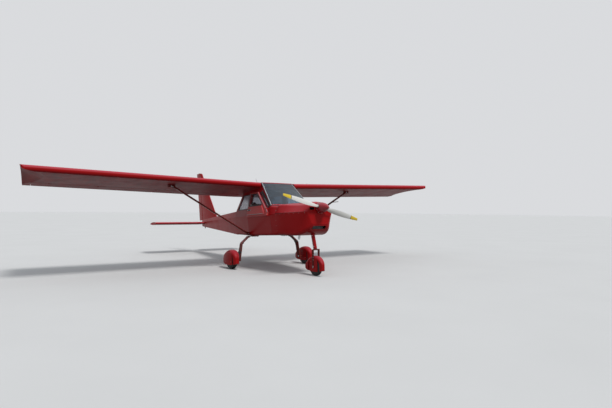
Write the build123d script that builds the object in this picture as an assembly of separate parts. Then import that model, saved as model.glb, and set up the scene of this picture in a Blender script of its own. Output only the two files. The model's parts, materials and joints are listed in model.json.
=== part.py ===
"""Two-seat high-wing ultralight aircraft with a tricycle gear, parked on its wheels.

Millimetres. The airframe is drawn level: x forward from the wing's leading edge, y to port
and z up from a level line just below the roof. The whole aircraft is then tipped nose up and
set on its wheels, so in the written pieces z = 0 is the ground, +X points forward, +Y to port,
and the origin lies below the middle of the bounding box.
"""
from build123d import *
import math
import os

# Parking
NOSE_UP_DEG = 3.2
NOSE_TIP_X = 1734.0
RUDDER_TOP_TAIL_X = -4670.0
FIN_TOP_Z = 790.0

# Wing
SPAN = 9300.0
CHORD = 1400.0
WING_THICKNESS = 150.0
WING_BOTTOM_Z = -40.0
WING_INCIDENCE_DEG = 3.8
DIHEDRAL_DEG = 1.6
ROOT_Y = 410.0
WING_SKIN = 8.0
WING_NOSE_RADIUS = 52.0
NOSE_ARC_DEG = 10.0
CREST_SHARE = 0.3
TRAILING_EDGE_THICKNESS = 8.0
TIP_CORNER_RADIUS = 90.0
TIP_SWEEP = 110.0
TIP_BEVEL_DEG = 23.0
TIP_EDGE = 7.0
TIP_SOLID = 380.0
FLAP_CHORD = 350.0
FLAP_ROOT_Y = 425.0
FLAP_TIP_Y = 2244.0
FLAP_AILERON_GAP = 12.0
AILERON_ROOT_Y = FLAP_TIP_Y + FLAP_AILERON_GAP
AILERON_TIP_GAP = 230.0
AILERON_TIP_Y = SPAN / 2 - AILERON_TIP_GAP
COVE_GAP = 8.0
SURFACE_END_GAP = 8.0

# Control surface hinges
HINGE_PLATE = 8.0
HINGE_PLATE_ROOT = 14.0
HINGE_PLATE_TIP = 9.0
HINGE_PLATE_PAST = 12.0
HINGE_SLOT = 24.0
HINGE_SLOT_PAST = 24.0
HINGE_SLOT_HEIGHT = 60.0
HINGE_PIN_RADIUS = 5.0
HINGE_PIN_REACH = 18.0
HINGE_SHARES = (0.12, 0.5, 0.88)
RUNNING_FIT = 0.05

# Fuselage
WALL = 30.0
WAIST_Z = -615.0
BELLY_Z = -1035.0
FIREWALL_X = 650.0
CABIN_END_X = -1200.0
DECK_Z = -486.0
TAIL_END_X = -4165.0
FIREWALL_THICKNESS = 12.0
FIREWALL_EDGE_GAP = 2.0
GLASS = 5.0

# Cabin stations: x, bottom z, bottom half width, waist half width, top half width
CABIN_STATIONS = (
    (FIREWALL_X, BELLY_Z, 440.0, 485.0, 390.0),
    (480.0, BELLY_Z, 455.0, 500.0, 405.0),
    (-480.0, BELLY_Z, 455.0, 500.0, 405.0),
    (CABIN_END_X, -1008.0, 380.0, 430.0, 340.0),
)
CABIN_TOP_Z = -100.0
CABIN_RISE = 100.0
BELLY_RADIUS = 50.0

# Windshield
SCREEN_BASE_X = 476.0
SCREEN_BASE_Z = -442.0
SCREEN_FOOT = 6.0
SCREEN_BASE_BULGE = 135.0
SCREEN_TOP_X = -60.0
SCREEN_TOP_RISE = 6.5
SCREEN_TOP_BULGE = 22.0

# Door
DOOR_OUTLINE = ((440.0, -640.0), (440.0, -575.0), (-95.0, -128.0), (-420.0, -128.0), (-440.0, -640.0))
DOOR_WINDOW = ((165.0, -400.0), (-112.0, -172.0), (-378.0, -172.0), (-390.0, -400.0))
DOOR_OPENING = ((415.0, -615.0), (415.0, -590.0), (-105.0, -156.0), (-398.0, -156.0), (-418.0, -615.0))
DOOR_GAP = 5.0
DOOR_THICKNESS = 24.0
DOOR_BULGE = 22.0
DOOR_BULGE_OUTLINE = ((330.0, -604.0), (175.0, -430.0), (-395.0, -430.0), (-405.0, -604.0))
DOOR_STRAP = 14.0
DOOR_HINGE_X = 476.0
DOOR_HINGE_Y = 560.0
DOOR_HINGE_HEIGHTS = (-628.0, -500.0)
DOOR_HINGE_PIN_RADIUS = 5.0

# Side windows
QUARTER_WINDOW = ((425.0, -470.0), (20.0, -150.0), (-45.0, -150.0), (345.0, -470.0))
REAR_SIDE_WINDOW = ((-498.0, -165.0), (-850.0, -165.0), (-1080.0, -460.0), (-508.0, -460.0))
REAR_GLASS_TOP = (-905.0, -113.0)
REAR_GLASS_FOOT = (-1185.0, -486.0)

# Roof window
ROOF_FRONT_X = -55.0
ROOF_WINDOW_FRONT_X = -170.0
ROOF_WINDOW_REAR_X = -640.0
ROOF_WINDOW_HALF = 290.0

# Cowling stations: x, waist half width, shoulder half width, shoulder z, crown z, bottom half width, bottom z
COWL_STATIONS = (
    (FIREWALL_X, 485.0, 425.0, -475.0, -441.0, 440.0, BELLY_Z),
    (1000.0, 432.0, 340.0, -475.0, -425.0, 385.0, -1045.0),
    (1280.0, 362.0, 262.0, -490.0, -420.0, 310.0, -1015.0),
    (1420.0, 312.0, 230.0, -500.0, -435.0, 235.0, -925.0),
    (1470.0, 280.0, 208.0, -512.0, -455.0, 180.0, -845.0),
)
COWL_WALL = 8.0
COWL_SHOULDER_RADIUS = 45.0
COWL_BOTTOM_RADIUS = 70.0
NOSE_RING_RADIUS = 106.0
NOSE_RING_BORE = 80.0
NOSE_RING_FRONT_X = 1494.0
INLET_Y = 170.0
INLET_Z = -556.0
INLET_WIDTH = 108.0
INLET_HEIGHT = 50.0
INLET_CORNER = 22.0
INLET_DEPTH = 90.0
RADIATOR_DEPTH = 140.0
RADIATOR_HALF = 150.0
RADIATOR_Z = -905.0
RADIATOR_HEIGHT = 62.0

# Engine and propeller
THRUST_Z = -545.0
ENGINE_LENGTH = 560.0
ENGINE_WIDTH = 480.0
ENGINE_HEIGHT = 380.0
ENGINE_REAR_X = 725.0
ENGINE_TOP_Z = -530.0
MOUNT_INSET = 40.0
MOUNT_TUBE_RADIUS = 14.0
SHAFT_RADIUS = 20.0
SPINNER_RADIUS = 102.0
SPINNER_BASE_X = 1502.0
SPINNER_WALL = 4.0
SPINNER_HOLE_GAP = 6.0
PROP_X = 1548.0
PROP_RADIUS = 860.0
PROP_REST_DEG = -15.0
HUB_RADIUS = 62.0
HUB_LENGTH = 84.0
BLADE_ROOT_RADIUS = 24.0
# Blade stations: radius, chord, thickness, pitch in degrees
BLADE_STATIONS = (
    (125.0, 62.0, 26.0, 40.0),
    (300.0, 98.0, 17.0, 28.0),
    (600.0, 88.0, 11.0, 18.0),
    (PROP_RADIUS, 42.0, 6.0, 12.0),
)

# Tail
TAIL_STATIONS = (
    # x, deck z, waist z, bottom z, deck half width, waist half width, bottom half width
    (CABIN_END_X, DECK_Z, WAIST_Z, -1008.0, 402.0, 430.0, 380.0),
    (TAIL_END_X, -578.0, -640.0, -758.0, 52.0, 66.0, 50.0),
)
BOOM_SKIN = 6.0
TAIL_CAVITY_END_X = -3900.0
TAIL_EYE = (-4080.0, -800.0)
TAIL_EYE_PLATE = 10.0
TAIL_SKIN = 6.0
FIN_FOOT_Z = -560.0
FIN_FOOT_X = -3225.0
FIN_TOP_FRONT_X = -4300.0
FIN_FOOT_THICKNESS = 92.0
FIN_TOP_THICKNESS = 60.0
RUDDER_HINGE_FOOT = (-4205.0, -598.0)
RUDDER_HINGE_TOP = (-4445.0, FIN_TOP_Z)
RUDDER_FOOT_TAIL_X = -4478.0
RUDDER_GAP = 8.0
RUDDER_HINGE_FOOT_INSET = 140.0
RUDDER_HINGE_TOP_INSET = 190.0
FIN_ROOM = 500.0
RUDDER_PLATE = ((70.0, -12.0), (70.0, 12.0), (-9.0, 9.0), (-9.0, -9.0))
FIN_NOSE_FOOT = 34.0
FIN_NOSE_TOP = 22.0
STABILATOR_SPAN = 2900.0
STABILATOR_LEAD_AHEAD = 295.0
STABILATOR_LEAD_X = TAIL_END_X + STABILATOR_LEAD_AHEAD
STABILATOR_CHORD = 680.0
STABILATOR_Z = -668.0
STABILATOR_THICKNESS = 72.0
STABILATOR_PIVOT_BACK = 175.0
STABILATOR_PIVOT_X = STABILATOR_LEAD_X - STABILATOR_PIVOT_BACK
STABILATOR_SIDE_GAP = 14.0
STABILATOR_TUBE_RADIUS = 27.0
STABILATOR_TIP_SWEEP = 40.0
STABILATOR_NOTCH = 330.0
STABILATOR_NOTCH_GAP = 12.0
STABILATOR_END_DEPTH = 30.0
TAB_CHORD = 95.0
TAB_COVE = 10.0
TAB_TIP_Y = 900.0
TAB_ROOT_Y = 250.0
TAB_END_GAP = 6.0
TAB_HINGE_YS = (TAB_ROOT_Y + 60.0, TAB_TIP_Y - 60.0)
TAB_PIN_RADIUS = 2.5
TAB_NOSE_RADIUS = 4.5

# Wing struts
STRUT_FOOT = (-466.0, CABIN_STATIONS[1][2] + 37.0, BELLY_Z + 35.0)
STRUT_HEAD_X = -385.0
STRUT_HEAD_Y = 2176.0
STRUT_HEAD_DROP = 5.0
STRUT_CHORD = 92.0
STRUT_THICKNESS = 34.0
STRUT_PLATE = 16.0
STRUT_FOOT_GAP = 20.0
STRUT_HEAD_GAP = 60.0
STRUT_HEAD_SEAT = 9.0
TIE_EYE_Y = 30.0
TIE_EYE_DROP = 20.0
TIE_EYE_RADIUS = 8.0

# Main gear
MAIN_AXLE_X = -393.0
MAIN_AXLE_Z = -1524.0
MAIN_TRACK_HALF = 910.0
MAIN_TYRE_RADIUS = 178.0
MAIN_TYRE_WIDTH = 120.0
MAIN_RIM_RADIUS = 72.0
LEAF_WIDTH = 110.0
LEAF_THICKNESS = 18.0
LEAF_BEND_RADIUS = 70.0
LEAF_INSET = 165.0
LEAF_KNEE_Z = -1190.0
LEAF_SPLAY = 55.0
LEAF_ROOT_Y = 300.0
LEAF_BEND_Y = 520.0
LEAF_FOOT_DROP = 30.0
AXLE_RADIUS = 12.5
AXLE_END_INSET = 15.0
SPAT_WHEEL_GAP = 16.0
SPAT_SIDE_GAP = 14.0
SPAT_ROUNDING = 0.85

# Nose gear
NOSE_AXLE_X = 1303.0
NOSE_TYRE_RADIUS = 165.0
NOSE_TYRE_WIDTH = 92.0
NOSE_RIM_RADIUS = 70.0
LEG_RAKE_DEG = 14.0
LEG_TOP = (1232.0, -1000.0)
LEG_LENGTH = 300.0
LEG_TUBE_RADIUS = 30.0
STEM_RADIUS = 19.0
FORK_PLATE = 8.0
FORK_GAP = 0.3
TOW_STUB = 18.0
NOSE_WELL_TRIM = 6.0

BIG = 4000.0


def rounded(points, radius=0.0):
    """Closed face with straight sides; every corner gets the radius."""
    face = make_face(Polyline(*points, close=True))
    return fillet(face.vertices(), radius) if radius else face


def across(points, y0, y1, radius=0.0):
    """Prism over a side-view outline of (x, z) points, from y0 to y1."""
    face = Pos(0, y0, 0) * (Plane.XZ * rounded(points, radius))
    return extrude(face, amount=y1 - y0, dir=(0, 1, 0))


def cross_plane(x):
    """Plane across the fuselage at x: its own x runs to port and its own y upwards."""
    return Plane(origin=(x, 0, 0), x_dir=(0, 1, 0), z_dir=(1, 0, 0))


def block(x0, x1, y0, y1, z0, z1):
    """Box between two corners."""
    middle = ((x0 + x1) / 2, (y0 + y1) / 2, (z0 + z1) / 2)
    return Pos(*middle) * Box(abs(x1 - x0), abs(y1 - y0), abs(z1 - z0))


def rod(start, end, radius):
    """Round bar between two points."""
    start, end = Vector(*start), Vector(*end)
    plane = Plane(origin=start, z_dir=end - start)
    return extrude(plane * Circle(radius), amount=(end - start).length)


def starboard(shape):
    """The mirror image on the other side of the aircraft."""
    return mirror(shape, about=Plane.XZ)


def wing_bottom_z(x):
    """Height of the wing's flat underside at x, in the root rib."""
    return WING_BOTTOM_Z + x * math.tan(math.radians(WING_INCIDENCE_DEG))


def in_wing(shape):
    """Moves a shape from the rib's own axes to the wing's incidence."""
    return Pos(0, 0, WING_BOTTOM_Z) * Rot(0, -WING_INCIDENCE_DEG, 0) * shape


def with_dihedral(shape):
    """Turns a port wing piece up about the root rib."""
    return Pos(0, ROOT_Y, WING_BOTTOM_Z) * Rot(DIHEDRAL_DEG, 0, 0) * Pos(0, -ROOT_Y, -WING_BOTTOM_Z) * shape


def rib_arcs():
    """Radii and joints of the flat-bottomed rib: nose circle, front arc and rear arc."""
    nose = WING_NOSE_RADIUS
    crest_x = -CREST_SHARE * CHORD
    reach = crest_x + nose
    front = (reach ** 2 + WING_THICKNESS ** 2 - 2 * WING_THICKNESS * nose) / (2 * (WING_THICKNESS - 2 * nose))
    back = CHORD + crest_x
    drop = WING_THICKNESS - TRAILING_EDGE_THICKNESS
    rear = (back ** 2 + drop ** 2) / (2 * drop)
    return crest_x, front, rear


def rib_top(x):
    """Height of the rib's upper side above its flat bottom."""
    crest_x, front, rear = rib_arcs()
    radius = front if x > crest_x else rear
    return WING_THICKNESS - radius + math.sqrt(radius ** 2 - (x - crest_x) ** 2)


def rib_face():
    """Wing rib in the XZ plane, nose at the origin's x, flat bottom on z = 0."""
    crest_x, front, rear = rib_arcs()
    nose = WING_NOSE_RADIUS
    away = math.hypot(-nose - crest_x, nose - WING_THICKNESS + front)
    join = (crest_x + front * (-nose - crest_x) / away,
            WING_THICKNESS - front + front * (nose - WING_THICKNESS + front) / away)
    mid_front = (crest_x + join[0]) / 2
    mid_rear = (crest_x - CHORD) / 2
    turn = math.radians(NOSE_ARC_DEG)
    return Face(Wire([
        Line((-CHORD, 0, 0), (-nose, 0, 0)),
        ThreePointArc((-nose, 0, 0), (-nose + nose * math.cos(turn), 0, nose - nose * math.sin(turn)),
                      (join[0], 0, join[1])),
        ThreePointArc((join[0], 0, join[1]), (mid_front, 0, rib_top(mid_front)),
                      (crest_x, 0, WING_THICKNESS)),
        ThreePointArc((crest_x, 0, WING_THICKNESS), (mid_rear, 0, rib_top(mid_rear)),
                      (-CHORD, 0, TRAILING_EDGE_THICKNESS)),
        Line((-CHORD, 0, TRAILING_EDGE_THICKNESS), (-CHORD, 0, 0)),
    ]))


def wing_slice(y0, y1):
    """Straight length of wing in the rib's own axes."""
    return extrude(Pos(0, y0, 0) * rib_face(), amount=y1 - y0, dir=(0, 1, 0))


SURFACE_HINGE_X = -CHORD + FLAP_CHORD
SURFACE_NOSE = rib_top(SURFACE_HINGE_X) / 2


def hinge_plates(stations, axis_x, axis_z, reach):
    """Plates with their pin, along y, from the cove back to the hinge line."""
    pieces = []
    for y in stations:
        front, rear = axis_x + reach, axis_x - HINGE_PLATE_PAST
        outline = (
            (front, axis_z - HINGE_PLATE_ROOT), (front, axis_z + HINGE_PLATE_ROOT),
            (rear, axis_z + HINGE_PLATE_TIP), (rear, axis_z - HINGE_PLATE_TIP),
        )
        plate = across(outline, y - HINGE_PLATE / 2, y + HINGE_PLATE / 2)
        low, high = y - HINGE_PIN_REACH, y + HINGE_PIN_REACH
        pin = rod((axis_x, low, axis_z), (axis_x, high, axis_z), HINGE_PIN_RADIUS)
        pieces.append(plate + pin)
    return pieces


def hinge_slots(stations, axis_x, axis_z, reach):
    """What the moving surface loses to each plate and pin."""
    pieces = []
    for y in stations:
        half = HINGE_SLOT / 2
        slot = block(axis_x - HINGE_SLOT_PAST, axis_x + reach, y - half, y + half,
                     axis_z - HINGE_SLOT_HEIGHT, axis_z + HINGE_SLOT_HEIGHT)
        bore = rod((axis_x, y - HINGE_PIN_REACH - 1, axis_z), (axis_x, y + HINGE_PIN_REACH + 1, axis_z),
                   HINGE_PIN_RADIUS + RUNNING_FIT)
        pieces.append(slot + bore)
    return pieces


def surface_stations(y0, y1):
    """Three hinge stations along a wing surface."""
    return [y0 + (y1 - y0) * share for share in HINGE_SHARES]


def wing_surface(y0, y1):
    """Flap or aileron: the rib's tail with a round nose about its hinge line."""
    tail = block(-CHORD - 1, SURFACE_HINGE_X, y0, y1, -1, 200)
    nose = rod((SURFACE_HINGE_X, y0, SURFACE_NOSE), (SURFACE_HINGE_X, y1, SURFACE_NOSE), SURFACE_NOSE - 1)
    piece = (wing_slice(y0, y1) & tail) + nose
    for slot in hinge_slots(surface_stations(y0, y1), SURFACE_HINGE_X, SURFACE_NOSE, SURFACE_NOSE + 5):
        piece -= slot
    return with_dihedral(in_wing(piece))


def tip_bevel(half):
    """What the panel loses under its tip, so that its lower side sweeps up to a thin edge."""
    crest_x, _, _ = rib_arcs()
    mid_front = (crest_x - WING_NOSE_RADIUS) / 2
    mid_rear = (crest_x - CHORD) / 2
    front_z = rib_top(-WING_NOSE_RADIUS)
    face = Face(Wire([
        Line((-CHORD, 0, -BIG), (-CHORD, 0, TRAILING_EDGE_THICKNESS)),
        ThreePointArc((-CHORD, 0, TRAILING_EDGE_THICKNESS), (mid_rear, 0, rib_top(mid_rear)),
                      (crest_x, 0, WING_THICKNESS)),
        ThreePointArc((crest_x, 0, WING_THICKNESS), (mid_front, 0, rib_top(mid_front)),
                      (-WING_NOSE_RADIUS, 0, front_z)),
        Line((-WING_NOSE_RADIUS, 0, front_z), (0, 0, WING_NOSE_RADIUS)),
        Line((0, 0, WING_NOSE_RADIUS), (0, 0, -BIG)),
        Line((0, 0, -BIG), (-CHORD, 0, -BIG)),
    ]))
    body = extrude(Pos(0, BIG / 2, 0) * face, amount=BIG, dir=(0, -1, 0))
    wide = block(-CHORD - 10, 10, half - TIP_SOLID, half + 10, -BIG / 2, 2 * WING_THICKNESS)
    return (Pos(0, half, -TIP_EDGE) * Rot(TIP_BEVEL_DEG, 0, 0) * body) & wide


def wing():
    """Port wing panel with coves for the flap and the aileron and their hinge plates."""
    slope = TIP_SWEEP / CHORD
    rounding = TIP_CORNER_RADIUS * (slope + math.hypot(1, slope) - 1)
    half = ROOT_Y + (SPAN / 2 - ROOT_Y) / math.cos(math.radians(DIHEDRAL_DEG)) + rounding
    inner = ROOT_Y - 15
    panel = wing_slice(inner, half)
    corners = ((5, inner - 1), (5, half), (-CHORD - 5, half - TIP_SWEEP), (-CHORD - 5, inner - 1))
    plan = make_face(Polyline(*corners, close=True))
    front_corner = plan.vertices().sort_by(Axis.Y)[-1]
    plan = fillet(front_corner, TIP_CORNER_RADIUS)
    panel &= extrude(Pos(0, 0, -5) * plan, amount=200)
    panel -= tip_bevel(half)
    low, high = inner - 1, AILERON_TIP_Y + SURFACE_END_GAP
    panel -= block(-CHORD - 10, SURFACE_HINGE_X + 5, low, high, -10, 200)
    cove_start = (SURFACE_HINGE_X, low, SURFACE_NOSE)
    cove_end = (SURFACE_HINGE_X, high, SURFACE_NOSE)
    panel -= rod(cove_start, cove_end, SURFACE_NOSE + COVE_GAP)
    for y0, y1 in ((FLAP_ROOT_Y, FLAP_TIP_Y), (AILERON_ROOT_Y, AILERON_TIP_Y)):
        for plate in hinge_plates(surface_stations(y0, y1), SURFACE_HINGE_X, SURFACE_NOSE, SURFACE_NOSE + 20):
            panel += plate
    hollow = offset(rib_face(), amount=-WING_SKIN)
    hollow = extrude(Pos(0, inner - 1, 0) * hollow, amount=half - TIP_SOLID - inner, dir=(0, 1, 0))
    front = SURFACE_HINGE_X + SURFACE_NOSE + COVE_GAP + WING_SKIN
    panel -= hollow & block(front, 10, inner - 2, half, -10, 200)
    return with_dihedral(in_wing(panel)) & block(-2 * CHORD, 100, ROOT_Y, SPAN, -1000, 1000)


def roof():
    """Centre section between the wing roots, cut for the roof window."""
    piece = wing_slice(-ROOT_Y, ROOT_Y)
    piece &= block(-CHORD - 1, ROOF_FRONT_X, -ROOT_Y - 1, ROOT_Y + 1, -1, 300)
    piece -= roof_opening()
    return in_wing(piece)


def roof_opening():
    """Hole through the centre section."""
    return block(ROOF_WINDOW_REAR_X, ROOF_WINDOW_FRONT_X, -ROOF_WINDOW_HALF, ROOF_WINDOW_HALF, -10, 300)


def roof_window():
    """Clear panel that follows the wing's upper side."""
    sheet = wing_slice(-ROOT_Y, ROOT_Y) - Pos(0, 0, -GLASS) * wing_slice(-ROOT_Y, ROOT_Y)
    high = block(ROOF_WINDOW_REAR_X, ROOF_WINDOW_FRONT_X, -ROOF_WINDOW_HALF, ROOF_WINDOW_HALF, 60, 300)
    return in_wing(sheet & high)


def cabin_loft(inset, low=None, high=None, rise=0.0):
    """Ruled body through the cabin stations, drawn in by the inset; whole height or one half."""
    sections = []
    for x, bottom, bottom_half, waist_half, top_half in CABIN_STATIONS:
        lean = (waist_half - top_half) / (CABIN_TOP_Z - WAIST_Z)
        if low:
            points = ((-waist_half + inset, WAIST_Z + rise), (-bottom_half + inset, bottom + inset),
                      (bottom_half - inset, bottom + inset), (waist_half - inset, WAIST_Z + rise))
            face = make_face(Polyline(*points, close=True))
            lower = face.vertices().sort_by(Axis.Y)[:2]
            face = fillet(lower, max(BELLY_RADIUS - inset, 8))
        else:
            top = CABIN_TOP_Z + rise
            over = top_half - lean * rise
            points = ((-waist_half + inset, WAIST_Z), (waist_half - inset, WAIST_Z), (over - inset, top),
                      (-over + inset, top))
            face = make_face(Polyline(*points, close=True))
        sections.append(cross_plane(x) * face)
    return loft(sections, ruled=True)


def cabin_tub():
    """Belly and lower sides, open at the waist and at both ends."""
    return cabin_loft(0, low=True) - cabin_loft(WALL, low=True, rise=1.0)


SCREEN_TOP_Z = wing_bottom_z(SCREEN_TOP_X) + rib_top(SCREEN_TOP_X) + SCREEN_TOP_RISE
SCREEN_SLOPE = (SCREEN_TOP_Z - SCREEN_BASE_Z) / (SCREEN_BASE_X - SCREEN_TOP_X)
SCREEN_RUN = GLASS / math.sin(math.atan(SCREEN_SLOPE))


def screen_x(z):
    """Outer edge of the windshield at height z, seen from the side."""
    return SCREEN_BASE_X - (z - SCREEN_BASE_Z) / SCREEN_SLOPE


def side_half(z):
    """Half width of the cabin beside the doors at height z above the waist."""
    _, _, _, waist_half, top_half = CABIN_STATIONS[1]
    return waist_half + (top_half - waist_half) * (z - WAIST_Z) / (CABIN_TOP_Z - WAIST_Z)


def cabin_profile():
    """Side view of the cabin wall above the waist, from the scuttle to the tail cone."""
    foot_z = SCREEN_BASE_Z - SCREEN_RUN * SCREEN_SLOPE
    slope = math.tan(math.radians(WING_INCIDENCE_DEG))
    roof_x = (screen_x(WING_BOTTOM_Z) - SCREEN_RUN) / (1 + slope / SCREEN_SLOPE)
    return (
        (SCREEN_BASE_X, WAIST_Z), (SCREEN_BASE_X, foot_z), (roof_x, wing_bottom_z(roof_x)),
        (REAR_GLASS_TOP[0], wing_bottom_z(REAR_GLASS_TOP[0])), (CABIN_END_X, DECK_Z), (CABIN_END_X, WAIST_Z),
    )


def cabin_side():
    """Port side wall above the waist with its door and window openings."""
    wall = cabin_loft(0, rise=CABIN_RISE) - cabin_loft(WALL, rise=CABIN_RISE + 1)
    wall &= across(cabin_profile(), 0, BIG)
    wall -= across(DOOR_OPENING, 0, BIG)
    wall -= across(QUARTER_WINDOW, 0, BIG)
    wall -= across(REAR_SIDE_WINDOW, 0, BIG)
    for z in DOOR_HINGE_HEIGHTS:
        if z > WAIST_Z:
            wall += door_hinge_arm(z) - cabin_loft(0, rise=CABIN_RISE)
    return wall


def side_glass(outline):
    """Port pane in the middle of the wall's thickness."""
    depth = (WALL - GLASS) / 2
    sheet = cabin_loft(depth, rise=CABIN_RISE) - cabin_loft(depth + GLASS, rise=CABIN_RISE + 1)
    return sheet & across(outline, 0, BIG)


def door_hinge_arm(z):
    """Fixed half of a door hinge: arm out of the wall with an upright pin."""
    arm = block(DOOR_HINGE_X - 9, DOOR_HINGE_X + 9, 440, DOOR_HINGE_Y, z - 16, z - 6)
    eye = Pos(DOOR_HINGE_X, DOOR_HINGE_Y, z - 11) * Cylinder(11, 10)
    pin = Pos(DOOR_HINGE_X, DOOR_HINGE_Y, z + 1) * Cylinder(DOOR_HINGE_PIN_RADIUS, 30)
    return arm + eye + pin


def door_front_x(z):
    """Front edge of the door at height z."""
    (x0, z0), (x1, z1) = DOOR_OUTLINE[1:3]
    return x0 if z < z0 else x0 + (x1 - x0) * (z - z0) / (z1 - z0)


def door_skin_y(z):
    """Outer face of the door's plate at height z."""
    return side_half(max(z, WAIST_Z)) + DOOR_GAP + DOOR_THICKNESS


def door_hinge_strap(z):
    """Moving half of a door hinge: (strap and eye, bore)."""
    low, high = z - 5.7, z + 12
    start = Vector(door_front_x(z) - 45, door_skin_y(z) - 10)
    end = Vector(DOOR_HINGE_X, DOOR_HINGE_Y)
    angle = math.degrees(math.atan2(end.Y - start.Y, end.X - start.X))
    middle = (start + end) / 2
    place = Pos(middle.X, middle.Y, (low + high) / 2) * Rot(0, 0, angle)
    strap = place * Box((end - start).length, DOOR_STRAP, high - low)
    eye = Pos(end.X, end.Y, (low + high) / 2) * Cylinder(12, high - low)
    bore = Pos(end.X, end.Y, z) * Cylinder(DOOR_HINGE_PIN_RADIUS + RUNNING_FIT, 80)
    return strap + eye, bore


def door():
    """Port door: skin that stands proud of the wall, a bulged lower panel and its hinges."""
    outside = -DOOR_GAP - DOOR_THICKNESS
    skin = cabin_loft(outside, rise=CABIN_RISE) - cabin_loft(-DOOR_GAP, rise=CABIN_RISE + 1)
    lower = cabin_loft(outside, low=True) - cabin_loft(-DOOR_GAP, low=True, rise=1.0)
    panel = (skin + lower) & across(DOOR_OUTLINE, 0, BIG)
    bulge_skin = cabin_loft(outside - DOOR_BULGE, rise=CABIN_RISE)
    bulge_skin -= cabin_loft(-DOOR_GAP - 2, rise=CABIN_RISE + 1)
    bulge = bulge_skin & across(DOOR_BULGE_OUTLINE, 0, BIG)
    panel += bulge
    panel -= across(DOOR_WINDOW, 0, BIG)
    for z in DOOR_HINGE_HEIGHTS:
        strap, bore = door_hinge_strap(z)
        panel += strap
        panel -= bore
    return panel


def door_glass():
    """Pane of the port door."""
    depth = -DOOR_GAP - DOOR_THICKNESS / 2 - GLASS / 2
    sheet = cabin_loft(depth, rise=CABIN_RISE) - cabin_loft(depth + GLASS, rise=CABIN_RISE + 1)
    return sheet & across(DOOR_WINDOW, 0, BIG)


def rear_window():
    """Sloping pane behind the seats, between the two side walls."""
    (x0, z0), (x1, z1) = REAR_GLASS_TOP, REAR_GLASS_FOOT
    z0 = wing_bottom_z(x0)
    pane = across(((x0, z0), (x0 + GLASS, z0), (x1 + GLASS, z1), (x1, z1)), -BIG, BIG)
    return pane & cabin_loft(WALL, rise=CABIN_RISE + 1)


def screen_band(plane, half, bulge, thickness):
    """Thin crescent on a plane: the windshield's section there."""
    outer = ((0, -half), (bulge, 0), (0, half))
    inner = ((-thickness, -half), (bulge - thickness, 0), (-thickness, half))
    return plane * Face(Wire([
        ThreePointArc(*outer),
        Line(outer[2], inner[2]),
        ThreePointArc(*reversed(inner)),
        Line(inner[0], outer[0]),
    ]))


def windshield():
    """Curved screen from the scuttle to the front edge of the roof."""
    foot_z = SCREEN_BASE_Z - SCREEN_FOOT
    low = Plane(origin=(screen_x(foot_z), 0, foot_z), x_dir=(1, 0, 0), z_dir=(0, 0, 1))
    high = Plane(origin=(SCREEN_TOP_X, 0, SCREEN_TOP_Z), x_dir=(1, 0, 0), z_dir=(0, 0, 1))
    pane = loft([
        screen_band(low, side_half(foot_z), SCREEN_BASE_BULGE, SCREEN_RUN),
        screen_band(high, side_half(SCREEN_TOP_Z), SCREEN_TOP_BULGE, SCREEN_RUN),
    ], ruled=True)
    return pane - scuttle_loft(0)


def cowl_arch(row, inset):
    """Upper half of a cowling section, closed along the waist."""
    x, waist_half, shoulder_half, shoulder_z, crown_z, _, _ = row
    foot = (waist_half - inset, WAIST_Z)
    shoulder = (shoulder_half - inset, shoulder_z - inset)
    crown = (0, crown_z - inset)
    face = Face(Wire([
        Line((-foot[0], foot[1]), foot),
        Line(foot, shoulder),
        ThreePointArc(shoulder, crown, (-shoulder[0], shoulder[1])),
        Line((-shoulder[0], shoulder[1]), (-foot[0], foot[1])),
    ]))
    upper = face.vertices().sort_by(Axis.Y)[-2:]
    return cross_plane(x) * fillet(upper, COWL_SHOULDER_RADIUS)


def cowl_trough(row, inset):
    """Lower half of a cowling section, closed along the waist."""
    x, waist_half, _, _, _, bottom_half, bottom_z = row
    points = ((-waist_half + inset, WAIST_Z), (-bottom_half + inset, bottom_z + inset),
              (bottom_half - inset, bottom_z + inset), (waist_half - inset, WAIST_Z))
    face = make_face(Polyline(*points, close=True))
    lower = face.vertices().sort_by(Axis.Y)[:2]
    return cross_plane(x) * fillet(lower, COWL_BOTTOM_RADIUS)


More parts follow.
